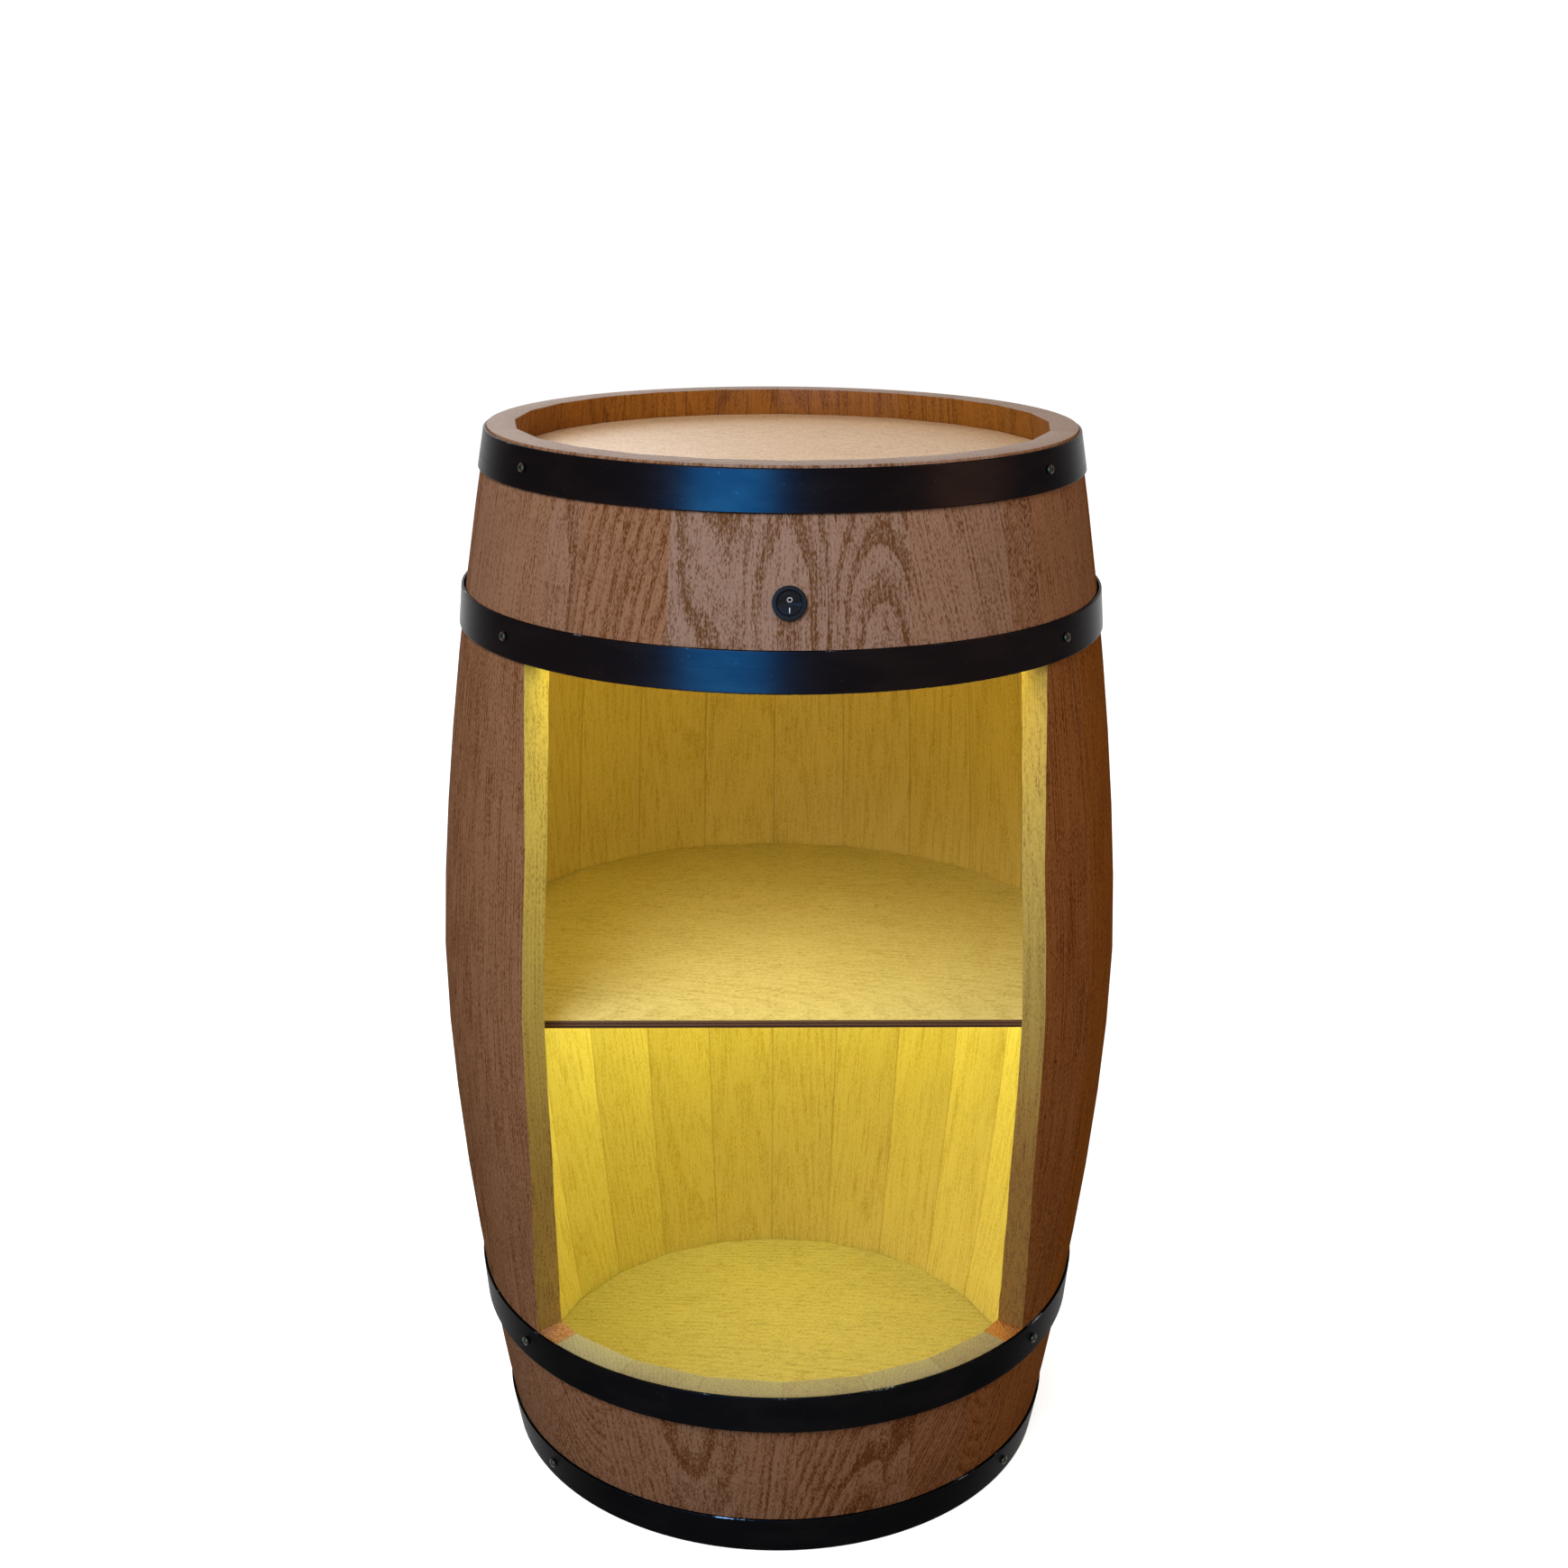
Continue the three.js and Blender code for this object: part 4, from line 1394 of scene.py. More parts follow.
        def choose(place: Vector) -> Figure:
            """Figure at a face's middle."""
            bands = ()
            if place.z > self.upper_figures_from:
                bands = self.upper
            elif place.z < self.lower_figures_to:
                bands = self.lower
            at = off(place, 0.0)
            return next((band.figure for band in bands if band.start < at < band.end), own)

        def read(place: Vector, figure: Figure) -> BoardPlace:
            """Place of a point in the straight board, and its share of the way across."""
            outside = barrel.outer(min(max(place.z, 0.0), barrel.height - NEAR))
            deep = outside - barrel.read(place)[0]
            across = outside * math.radians(off(place, figure.centre))
            return (across, deep, place.z), off(place, angle) / barrel.pitch

        self.dress_faces(piece)
        keep_grain(piece, choose, read)
        smooth(piece)
        dress(piece, Body.CABINET, Slot.STAVE, node)

    def rounded(self, piece: bpy.types.Object, height: float, width: float) -> None:
        """Rounds the long edges of a stave's end at a height."""
        barrel = self.barrel

        def at_end(edge: bmesh.types.BMEdge) -> bool:
            """Whether an edge runs round the barrel at that end."""
            a, b = (vertex.co for vertex in edge.verts)
            level = abs(a.z - height) < NEAR and abs(b.z - height) < NEAR
            return level and abs(barrel.read(a)[0] - barrel.read(b)[0]) < self.overrun

        round_edges(piece, width, at_end)

    def build(self, switch_hole: Callable, bores: Callable) -> None:
        """Makes every stave.

        Args:
            switch_hole: Gives the cutter for the switch's hole.
            bores: Gives the cutters for what goes into the stave at an angle.
        """
        cutters = self.croze(self.floor_top), self.croze(self.head_top), self.opening()
        low_ring, high_ring, opening = cutters
        tall = self.board("stave_master", 0.0, self.barrel.height)
        for height in (0.0, self.barrel.height):
            self.rounded(tall, height, self.rim_round)
        cut_out(tall, low_ring)
        cut_out(tall, high_ring)
        for i in range(self.tall_count):
            self.tall_stave(i, tall, opening, bores)
        discard(tall)

        rim, lip = self.rim_round, self.lip_round
        for part, bottom, top, top_round, ring in (
            ("lower", 0.0, self.opening_bottom, lip, low_ring),
            ("upper", self.opening_top, self.barrel.height, rim, high_ring),
        ):
            short = self.board("short_master", bottom, top)
            self.rounded(short, bottom, rim)
            self.rounded(short, top, top_round)
            cut_out(short, ring)
            for i in range(self.barrel.stave_count - self.tall_count):
                self.short_stave(i, part, short, switch_hole)
            discard(short)
        for cutter in cutters:
            discard(cutter)

    def tall_stave(
        self, index: int, master: bpy.types.Object, opening: bpy.types.Object, bores: Callable
    ) -> None:
        """One stave of the full height, with the holes that fall on it.

        Args:
            index: Its place, counted from the opening's right.
            master: The stave to copy.
            opening: Cutter for the opening, which takes a strip off the first and the last.
            bores: Gives the cutters for what goes into the stave at an angle.
        """
        barrel = self.barrel
        angle = self.front_half + (index + 0.5) * barrel.pitch
        piece = copied(master, f"tall_stave_{index + 1:02d}")
        piece.data.transform(barrel.turn(angle))
        if index in (0, self.tall_count - 1):
            cut_out(piece, opening)
        for cutter in bores(angle):
            cut_out(piece, cutter)
            discard(cutter)
        self.finish(piece, angle, self.side_figure(index, angle), f"stave_{index + 1:02d}")

    def short_stave(
        self, index: int, part: str, master: bpy.types.Object, switch_hole: Callable
    ) -> None:
        """One short stave over or under the opening.

        Args:
            index: Its place, counted from the left.
            part: The row it stands in, lower or upper.
            master: The stave to copy.
            switch_hole: Gives the cutter for the switch's hole.
        """
        barrel = self.barrel
        angle = (index + 0.5) * barrel.pitch - self.front_half
        piece = copied(master, f"{part}_front_stave_{index + 1}")
        piece.data.transform(barrel.turn(angle))
        if part == "upper" and abs(angle) < barrel.pitch:
            hole = switch_hole()
            cut_out(piece, hole)
            discard(hole)
        own = replace(self.side_figure(index, angle), tone=DRAWS.uniform(0.0, 1.0))
        self.finish(piece, angle, own, f"front_stave_{part}_{index + 1}")

    def side_figure(self, index: int, angle: float) -> Figure:
        """Figure of a stave: straight and quiet beside the opening, arches elsewhere.

        Args:
            index: Place of the stave in its row.
            angle: Angle of its middle.

        Returns:
            Its figure.
        """
        if index == self.flame_stave:
            return self.flame
        side = DRAWS.choice((-1.0, 1.0))
        beside = self.front_half + self.quiet_staves * self.barrel.pitch
        quiet = min(angle, 360.0 - angle) < beside
        off = DRAWS.uniform(*(self.quiet_off if quiet else self.figure_off))
        # A random tone of the stave's own, plus painted shade that grows towards the right flank
        tone = DRAWS.uniform(*self.side_tone) + self.painted_side_shade_swing * math.sin(math.radians(angle))
        return Figure(
            centre=angle + side * off,
            tip=DRAWS.uniform(*self.figure_tip),
            depth=DRAWS.uniform(*self.figure_depth),
            rise=DRAWS.choice((-1.0, 1.0))
            * (self.quiet_rise if quiet else DRAWS.uniform(*self.figure_rise)),
            spacing=DRAWS.uniform(*(self.quiet_spacing if quiet else self.figure_spacing)),
            over=float(index % 2),
            strength=self.quiet_strength if quiet else self.figure_strength,
            tone=tone,
            shift=DRAWS.uniform(*self.figure_shift),
        )


@dataclass(frozen=True)
class Hoop:
    """Where one hoop lies, and which of its edges stands off the wood."""

    name: str
    bottom: float
    low_off: bool = False
    high_off: bool = False


@dataclass
class Hoops:
    """Four steel hoops with a riveted lap at the back, and their screws."""

    barrel: Barrel
    width: float = 0.0287
    thickness: float = 0.0018
    corner: float = 0.0005
    stand_off: float = 0.0018
    lap_angle: float = 10.0
    screw_angle: float = 54.0
    head_radius: float = 0.0034
    head_height: float = 0.0022
    dome_power: float = 0.8
    recess_arm: float = 0.52
    recess_slot: float = 0.11
    recess_floor: float = 0.4
    shank: float = 0.0015
    screw_length: float = 0.016
    tip_length: float = 0.003
    rivet_radius: float = 0.00391
    rivet_height: float = 0.00165
    worn_reach: float = 0.0006
    worn_below: float = 0.8
    steps: int = 144
    rows: tuple[Hoop, ...] = (
        Hoop("top_chime", 0.7693),
        Hoop("upper_quarter", 0.6527, high_off=True),
        Hoop("lower_quarter", 0.1120, low_off=True),
        Hoop("bottom_chime", 0.0010),
    )

    def gaps(self, row: Hoop) -> tuple[float, float]:
        """Gap between the wood and a hoop at its lower and upper edge."""
        gap = self.barrel.fit_gap
        return (self.stand_off if row.low_off else gap), (self.stand_off if row.high_off else gap)

    def section(self, row: Hoop, lift: float = 0.0) -> Profile:
        """Rounded section of a strip, from its inner lower corner and back to it.

        Args:
            row: The hoop.
            lift: How far the strip lies outside the hoop's own inside.

        Returns:
            Radius and height of each point.
        """
        barrel, wide, thick, bend = self.barrel, self.width, self.thickness, self.corner
        low_gap, high_gap = self.gaps(row)
        low = barrel.outer(row.bottom) + low_gap + lift
        high = barrel.outer(row.bottom + wide) + high_gap + lift
        margin = 2 * bend
        arc = [(bend - bend * math.cos(t), thick - bend + bend * math.sin(t)) for t in quarter(3)]
        middle = [(margin, thick), (wide / 2, thick), (wide - margin, thick)]
        far_arc = [(wide - up, out) for up, out in reversed(arc)]
        places = [(0.0, 0.0), *arc, *middle, *far_arc, (wide, 0.0), (0.0, 0.0)]
        return [(low + (high - low) * up / wide + out, row.bottom + up) for up, out in places]

    def finish(self, piece: bpy.types.Object, bottom: float) -> None:
        """Marks the edges that rub bare and coats a strip."""
        low, high = self.worn_reach, self.width - self.worn_reach
        ups = [vertex.co.z - bottom for vertex in piece.data.vertices]
        edges = [1.0 if up > high else self.worn_below if up < low else 0.0 for up in ups]
        write_values(piece, "edge", edges)
        # The lower hoops take the copy darkened by painted shade
        coat(piece, SHADED_LOW_HOOP_PAINT if bottom < self.barrel.height / 2 else HOOP_PAINT)
        smooth(piece, 40.0)

    def band(self, row: Hoop) -> None:
        """One hoop, bored for its screws."""
        ring = turned("hoop_band_" + row.name, self.section(row), self.steps)
        ring.data.transform(self.barrel.centre)
        for angle in (self.screw_angle, -self.screw_angle):
            hole = self.bore(angle, row, self.thickness)
            cut_out(ring, hole)
            discard(hole)
        self.finish(ring, row.bottom)
        dress(ring, Body.CABINET, Slot.HOOP, "hoop_" + row.name)

    def lap(self, row: Hoop) -> None:
        """The hoop's outer end, over its inner one at the back."""
        section = self.section(row, self.thickness + NEAR)
        lap = turned("hoop_lap_" + row.name, section, 4, self.lap_angle)
        for start in (0.0, math.radians(self.lap_angle)):
            along = Vector((-math.sin(start), math.cos(start), 0.0))
            with editing(lap) as mesh:
                pick(
                    lap,
                    mesh.edges,
                    lambda edge, way=along: edge.is_boundary
                    and all(abs(vertex.co.dot(way)) < NEAR for vertex in edge.verts),
                )
                bpy.ops.mesh.edge_face_add()
        close_up(lap)
        lap.data.transform(self.barrel.centre @ rotation(90.0 - self.lap_angle / 2))
        self.finish(lap, row.bottom)
        dress(lap, Body.CABINET, Slot.HOOP, "hoop_" + row.name)

    def rivets(self, row: Hoop) -> None:
        """Two rivets through a hoop's lap."""
        radius, height = self.rivet_radius, self.rivet_height
        turns = quarter(5)[:-1]
        dome = [(radius * math.cos(t), height * math.sin(t)) for t in turns]
        profile = [(0.0, 0.0), *dome, (0.0, height)]
        seat = sum(self.gaps(row)) / 2 + 2 * self.thickness + 2 * NEAR
        for i, angle in enumerate((180.0 - self.lap_angle / 4, 180.0 + self.lap_angle / 4)):
            rivet = turned(f"hoop_rivet_{row.name}_{i + 1}", profile, 20)
            rivet.data.transform(self.middle(angle, row) @ shift(z=seat))
            coat(rivet, BLACK_SCREW)
            smooth(rivet)
            dress(rivet, Body.CABINET, Slot.SCREW, "hoop_" + row.name)

    def middle(self, angle: float, row: Hoop) -> Matrix:
        """Frame on the wood under the middle of a hoop."""
        return self.barrel.surface(angle, row.bottom + self.width / 2)

    def bore(self, angle: float, row: Hoop, depth: float) -> bpy.types.Object:
        """Cutter for a screw's hole, from outside the hoop to a depth in the wood."""
        radius = self.shank + self.barrel.fit_gap
        cutter = post("screw_bore", radius, -depth, 3 * self.thickness, 12)
        cutter.data.transform(self.middle(angle, row))
        return cutter

    def bores(self, stave_angle: float) -> list[bpy.types.Object]:
        """Cutters for the screws that go into the stave at an angle."""
        cutters = []
        for angle in (self.screw_angle, 360.0 - self.screw_angle):
            if abs(angle - stave_angle) < self.barrel.pitch / 2:
                cutters += [self.bore(angle, row, self.screw_length) for row in self.rows]
        return cutters

    def screw_master(self) -> bpy.types.Object:
        """Domed screw with a cross recess, its seat at height 0."""
        head, tall, shank = self.head_radius, self.head_height, self.shank
        reach = self.screw_length - self.thickness
        turns = quarter(6)[:-1]
        dome = [(head * math.cos(t) ** self.dome_power, tall * math.sin(t)) for t in turns]
        tip = [(0.0, -reach), (shank, self.tip_length - reach), (shank, 0.0)]
        screw = turned("screw_master", [*tip, *dome, (0.0, tall)], 24)
        slot, arm, floor = head * self.recess_slot, head * self.recess_arm, tall * self.recess_floor
        for across, along in ((slot, arm), (arm, slot)):
            recess = block("recess", (-across, -along, floor), (across, along, tall * 2))
            cut_out(screw, recess)
            discard(recess)
        coat(screw, BLACK_SCREW)
        smooth(screw)
        return screw

    def build(self) -> None:
        """Makes the hoops, laps, rivets and screws."""
        screw = self.screw_master()
        for row in self.rows:
            self.band(row)
            self.lap(row)
            self.rivets(row)
            seat = sum(self.gaps(row)) / 2 + self.thickness + self.barrel.fit_gap
            for side, angle in (("right", self.screw_angle), ("left", -self.screw_angle)):
                piece = copied(screw, f"hoop_screw_{row.name}_{side}")
                turn = Matrix.Rotation(DRAWS.uniform(0.0, math.pi), 4, "Z")
                piece.data.transform(self.middle(angle, row) @ shift(z=seat) @ turn)
                dress(piece, Body.CABINET, Slot.SCREW, f"screw_{row.name}_{side}")
        discard(screw)


@dataclass
class Boards:
    """The recessed top, the floor, the shelf and the pegs that it rests on."""

    barrel: Barrel
    staves: Staves
    edge_gap: float = 0.0006
    shelf_top: float = 0.385
    shelf_thickness: float = 0.006
    shelf_setback: float = 0.147
    notch_width: float = 0.014
    notch_depth: float = 0.008
    notch_angle: float = 247.5
    peg_radius: float = 0.003
    peg_in_wall: float = 0.010
    peg_proud: float = 0.012
    groove_floor: float = 0.8
    groove_slope: float = 0.02
    groove: Stretch = (0.68, 0.80)
    peg_angles: tuple[float, ...] = (82.5, 142.5, 217.5, 277.5)
    plain_share: float = 0.25
    top_figure: Figure = Figure(0.09, 0.10, 0.035, -0.17, 0.0035, strength=0.8)
    shelf_figure: Figure = Figure(-0.13, -0.3, 0.03, 0.16, 0.0045, strength=0.8)
    floor_figure: Figure = Figure(-0.06, -0.15, 0.045, 0.15, 0.0050, strength=0.8, shift=3.0)

    def keep_figure(self, piece: bpy.types.Object, figure: Figure, top: float) -> None:
        """Keeps a board's grain, which runs from side to side."""
        axis = self.barrel.axis

        def read(place: Vector, figure: Figure) -> BoardPlace:
            """Place across the grain, down from the face and along it, away from any joint."""
            return (place.y - axis - figure.centre, top - place.z, place.x), self.plain_share

        keep_grain(piece, lambda place: figure, read)

    def head(self, name: str, top: float, finish: Finish, figure: Figure, node: str) -> None:
        """Board whose edge is a tongue in the staves' groove.

        Args:
            name: Name of the piece.
            top: Height of its top.
            finish: Finish of its faces.
            figure: How its rings lie.
            node: The CAD node it stands for.
        """
        barrel, staves = self.barrel, self.staves
        low = top - staves.head_thickness
        radius = min(barrel.inner(low), barrel.inner(top)) - self.edge_gap
        edge_low, edge_high = low + staves.shoulder, top - staves.shoulder
        reach = barrel.inner((edge_low + edge_high) / 2) + staves.croze_depth - 2 * barrel.fit_gap
        piece = post(name, radius, low, top, barrel.stave_count)
        with editing(piece, "FACE"):
            cut_across([edge_low, edge_high], Z_AXIS)
            pick(
                piece,
                bmesh.from_edit_mesh(piece.data).faces,
                lambda face: abs(face.normal.z) < FACING
                and edge_low < face.calc_center_median().z < edge_high,
            )
            grow = reach / radius
            bpy.ops.mesh.extrude_region_move()
            bpy.ops.transform.resize(value=(grow, grow, 1.0), center_override=(0.0, 0.0, 0.0))
        round_edges(
            piece,
            self.edge_gap,
            lambda edge: all(abs(vertex.co.z - top) < NEAR for vertex in edge.verts),
        )
        piece.data.transform(barrel.centre)
        self.keep_figure(piece, figure, top)
        coat(piece, finish)
        smooth(piece)
        dress(piece, Body.CABINET, Slot.BOARD, node)

    def shelf(self) -> None:
        """Thin plywood shelf, sawn off in front and notched for the lead."""
        barrel = self.barrel
        top, low = self.shelf_top, self.shelf_top - self.shelf_thickness
        radius = (barrel.facet(low) - barrel.fit_gap) / math.cos(math.radians(barrel.pitch / 2))
        piece = post("plywood_shelf", radius, low, top, barrel.stave_count)
        with editing(piece):
            bpy.ops.mesh.select_all(action="SELECT")
            bpy.ops.mesh.bisect(
                plane_co=(0.0, -self.shelf_setback, 0.0),
                plane_no=(0.0, 1.0, 0.0),
                use_fill=True,
                clear_inner=True,
            )
        half, deep = self.notch_width / 2, self.notch_depth
        notch = block(
            "notch_cutter",
            (-half, -radius - deep, low - deep),
            (half, -radius + deep, top + deep),
        )
        notch.data.transform(rotation(self.notch_angle))
        cut_out(piece, notch)
        discard(notch)
        round_edges(piece, barrel.fit_gap, is_sharp(50.0), 2)
        piece.data.transform(barrel.centre)
        self.keep_figure(piece, self.shelf_figure, top)
        coat(piece, SHELF_FACE, replace(PLY_EDGE, bottom=low))
        for face in piece.data.polygons:
            face.material_index = 0 if abs(face.normal.z) > FACING else 1
        smooth(piece)
        dress(piece, Body.CABINET, Slot.BOARD, "middle_shelf")

    def peg_frame(self, angle: float) -> Matrix:
        """Frame on the inside face under the shelf, its Z into the wood."""
        barrel = self.barrel
        height = self.shelf_top - self.shelf_thickness - barrel.fit_gap - self.peg_radius
        turn = math.radians(angle)
        across = Vector((math.cos(turn), math.sin(turn), 0.0))
        into = Vector((math.sin(turn), -math.cos(turn), 0.0))
        seat = barrel.point(barrel.facet(height), angle, height)
        return frame_at(seat, across, into.cross(across), into)

    def peg_bores(self, stave_angle: float) -> list[bpy.types.Object]:
        """Cutters for the pegs that go into the stave at an angle."""
        gap, cutters = self.barrel.fit_gap, []
        for angle in self.peg_angles:
            if abs(angle - stave_angle) < self.barrel.pitch / 2:
                deep = self.peg_in_wall + gap
                cutter = post("peg_bore", self.peg_radius + gap, -self.peg_proud, deep, 16)
                cutter.data.transform(self.peg_frame(angle))
                cutters.append(cutter)
        return cutters

    def pegs(self) -> None:
        """Turned steel pegs with a rounded end and a groove near it."""
        radius, proud, deep = self.peg_radius, self.peg_proud, self.peg_in_wall
        bend = radius / 3
        rim = radius - bend
        end = [(rim + bend * math.sin(t), -proud + bend - bend * math.cos(t)) for t in quarter(3)]
        near, far = self.groove
        floor, slope = self.groove_floor * radius, self.groove_slope
        groove = [
            (radius, -far * proud),
            (floor, (slope - far) * proud),
            (floor, (-slope - near) * proud),
            (radius, -near * proud),
        ]
        profile = [(0.0, -proud), *end, *groove, (radius, deep), (0.0, deep)]
        master = turned("peg_master", profile, 24)
        coat(master, PLATED)
        smooth(master)
        for i, angle in enumerate(self.peg_angles):
            peg = copied(master, f"shelf_peg_{i + 1}")
            peg.data.transform(self.peg_frame(angle))
            dress(peg, Body.CABINET, Slot.PIN, f"shelf_pin_{i + 1}")
        discard(master)

    def build(self) -> None:
        """Makes the boards and pegs."""
        staves = self.staves
        self.head("recessed_top", staves.head_top, PALE_BOARD, self.top_figure, "top_board")
        # The floor board's face is darkened by painted shade
        self.head("barrel_floor", staves.floor_top, SHADED_FLOOR_FACE, self.floor_figure, "floor_board")
        self.shelf()
        self.pegs()


@dataclass
class LightStrips:
    """Silicone light strips on the inside faces."""

    barrel: Barrel
    thickness: float = 0.003
    width: float = 0.009
    corner: float = 0.0011
    lamp_pitch: float = 0.0332
    upper_end: float = 42.0
    lower_start: float = 130.0
    upper_bottom: float = 0.659
    lower_bottom: float = 0.3617

    def strip(
        self, name: str, start: float, end: float, bottom: float, glow: Finish, node: str
    ) -> None:
        """One strip, shaped straight and then bent along the flat faces.

        Args:
            name: Name of the piece.
            start: Angle of its start.
            end: Angle of its end.
            bottom: Height of its lower edge.
            glow: Its finish.
            node: The CAD node it stands for.
        """
        barrel, top = self.barrel, bottom + self.width
        radius = barrel.facet(bottom)
        piece = block(name, (0.0, 0.0, bottom), (end - start, self.thickness, top))
        first = math.ceil(start / barrel.pitch) * barrel.pitch
        corners = [first + i * barrel.pitch - start for i in range(barrel.stave_count)]
        with editing(piece):
            inside = [corner for corner in corners if NEAR < corner < end - start - NEAR]
            cut_across(inside, X_AXIS)
        round_edges(
            piece,
            self.corner,
            lambda edge: all(vertex.co.y > self.thickness - NEAR for vertex in edge.verts)
            and abs(edge.verts[0].co.z - edge.verts[1].co.z) < NEAR
            and abs(edge.verts[0].co.x - edge.verts[1].co.x) > NEAR,
        )
        half = math.degrees(self.lamp_pitch / 2 / radius)
        with editing(piece):
            cut_across([i * half / 2 for i in range(1, int(2 * (end - start) / half))], X_AXIS)
        along = [vertex.co.x / half for vertex in piece.data.vertices]

        def place(point: Vector) -> Vector:
            """Point on the strip once it is stuck to the wall."""
            return barrel.facet_point(start + point.x, point.z, barrel.fit_gap + point.y)

        reshape(piece, place)
        write_values(piece, "along", along)
        coat(piece, glow)
        smooth(piece, 20.0)
        dress(piece, Body.CABINET, Slot.STRIP, node)

    def build(self) -> None:
        """Makes both strips."""
        end = self.upper_end
        self.strip("glow_strip_upper", -end, end, self.upper_bottom, UPPER_GLOW, "light_strip_upper")
        start, end = self.lower_start, 360.0 - self.lower_start
        self.strip("glow_strip_lower", start, end, self.lower_bottom, LOWER_GLOW, "light_strip_lower")


@dataclass
class Switch:
    """Round rocker switch let into the front, with its rocker on a hinge."""

    barrel: Barrel
    height: float = 0.7117
    bezel_radius: float = 0.0115
    bezel_thickness: float = 0.0023
    bezel_round: float = 0.0008
    housing_radius: float = 0.0098
    housing_depth: float = 0.013
    pocket_radius: float = 0.0084
    # Outwards and downwards, in halves of the bezel's rounding
    pocket_rim: Profile = ((2.0, 0.0), (1.0, 1.0), (0.25, 1.2), (0.0, 2.0))
    hinge_height: float = 0.001
    rocker_radius: float = 0.0081
    rocker_face: float = 0.0006
    rocker_back: float = 0.004
    rocker_round: float = 0.00036
    face_angle: float = 10.0
    tilt: float = 10.0
    rocker_levels: int = 5
    tab_width: float = 0.0048
    tab_thickness: float = 0.0008
    tab_length: float = 0.0075
    tab_tip: float = 0.0012
    tab_spacing: float = 0.0055
    eye_radius: float = 0.0008
    eye_place: float = -0.0045
    mark_lift: float = 0.00008
    ring_radius: float = 0.00155
    mark_width: float = 0.00058
    bar_height: float = 0.0036
    ring_place: float = 0.0025
    bar_place: float = -0.0045

    @property
    def place(self) -> Matrix:
        """Frame of the switch on the front of the barrel."""
        return self.barrel.surface(0.0, self.height)

    def hole(self) -> bpy.types.Object:
        """Cutter for the hole in the staves."""
        radius = self.housing_radius + self.barrel.fit_gap
        through = 2 * self.barrel.thickness
        cutter = post("switch_hole_cutter", radius, -through, through, 48)
        cutter.data.transform(self.place)
        return cutter

    def housing(self) -> None:
        """Housing with a rounded bezel and a stepped well."""
        gap, deep, edge = self.barrel.fit_gap, self.housing_depth, self.bezel_radius
        front = gap + self.bezel_thickness
        bend, well = self.bezel_round, self.pocket_radius
        back_reach = math.sqrt(self.rocker_radius**2 - self.rocker_back**2)
        tilt = math.radians(self.tilt)
        sweep = self.rocker_back * math.cos(tilt) + back_reach * math.sin(tilt)
        floor = self.hinge_height - sweep - 2 * gap
        step = bend / 2
        profile = [
            (0.0, -deep),
            (self.housing_radius - step, -deep),
            (self.housing_radius, step - deep),
            (self.housing_radius, gap),
            (edge, gap),
            *rounded_rim(edge, front, bend, 4),
            *((well + out * step, front - down * step) for out, down in self.pocket_rim),
            (well, floor),
            (0.0, floor),
        ]
        piece = turned("switch_bezel", profile, 64)
        piece.data.transform(self.place)
        coat(piece, SWITCH_BLACK)
        smooth(piece, 28.0)
        dress(piece, Body.CABINET, Slot.SWITCH, "switch_housing")

    def tabs(self) -> None:
        """Three terminal tabs behind the housing, each with an eye."""
        wide, thin, long = self.tab_width / 2, self.tab_thickness, self.tab_length
        master = block("tab_master", (-wide, -thin / 2, -long), (wide, thin / 2, 0.0))
        round_edges(
            master,
            self.tab_tip,
            lambda edge: all(vertex.co.z < -long + NEAR for vertex in edge.verts)
            and abs(edge.verts[0].co.x - edge.verts[1].co.x) < NEAR,
            1,
        )
        eye = post("tab_eye", self.eye_radius, -thin, thin, 16)
        eye.data.transform(shift(z=self.eye_place) @ rotation(90.0, "X"))
        cut_out(master, eye)
        discard(eye)
        coat(master, PLATED)
        for i in range(3):
            tab = copied(master, f"switch_tab_{i + 1}")
            tab.data.transform(self.place @ shift(y=(i - 1) * self.tab_spacing, z=-self.housing_depth))
            smooth(tab)
            dress(tab, Body.CABINET, Slot.SWITCH, "switch_housing")
        discard(master)

    def rocker(self) -> None:
        """Ball-edged rocker with two dished halves, at rest with its lower half in."""
        reach, face = self.rocker_radius, self.rocker_face
        rise = math.tan(math.radians(self.face_angle))
        top = face + reach * rise
        piece = post("switch_paddle", 1.0, -self.rocker_back, top, 64)
        with editing(piece):
            levels, span = self.rocker_levels, top + self.rocker_back
            cut_across([i / levels * span - self.rocker_back for i in range(1, levels)], Z_AXIS)
            cut_across([0.0], Y_AXIS)

        def place(point: Vector) -> Vector:
            """Rounds the side like a ball and dishes the front."""
            height = point.z
            if height > top - NEAR:
                height = face + abs(point.y) * reach * rise
            radius = math.sqrt(reach**2 - height**2)
            return Vector((point.x * radius, point.y * radius, height))

        reshape(piece, place)
        round_edges(piece, self.rocker_round, is_sharp(55.0))
        swing = self.place @ shift(z=self.hinge_height) @ rotation(self.tilt, "X")
        piece.data.transform(swing)
        coat(piece, SWITCH_BLACK)
        smooth(piece, 20.0)
        dress(piece, Body.ROCKER, Slot.SWITCH, "switch_rocker")
        self.marks(swing, rise)

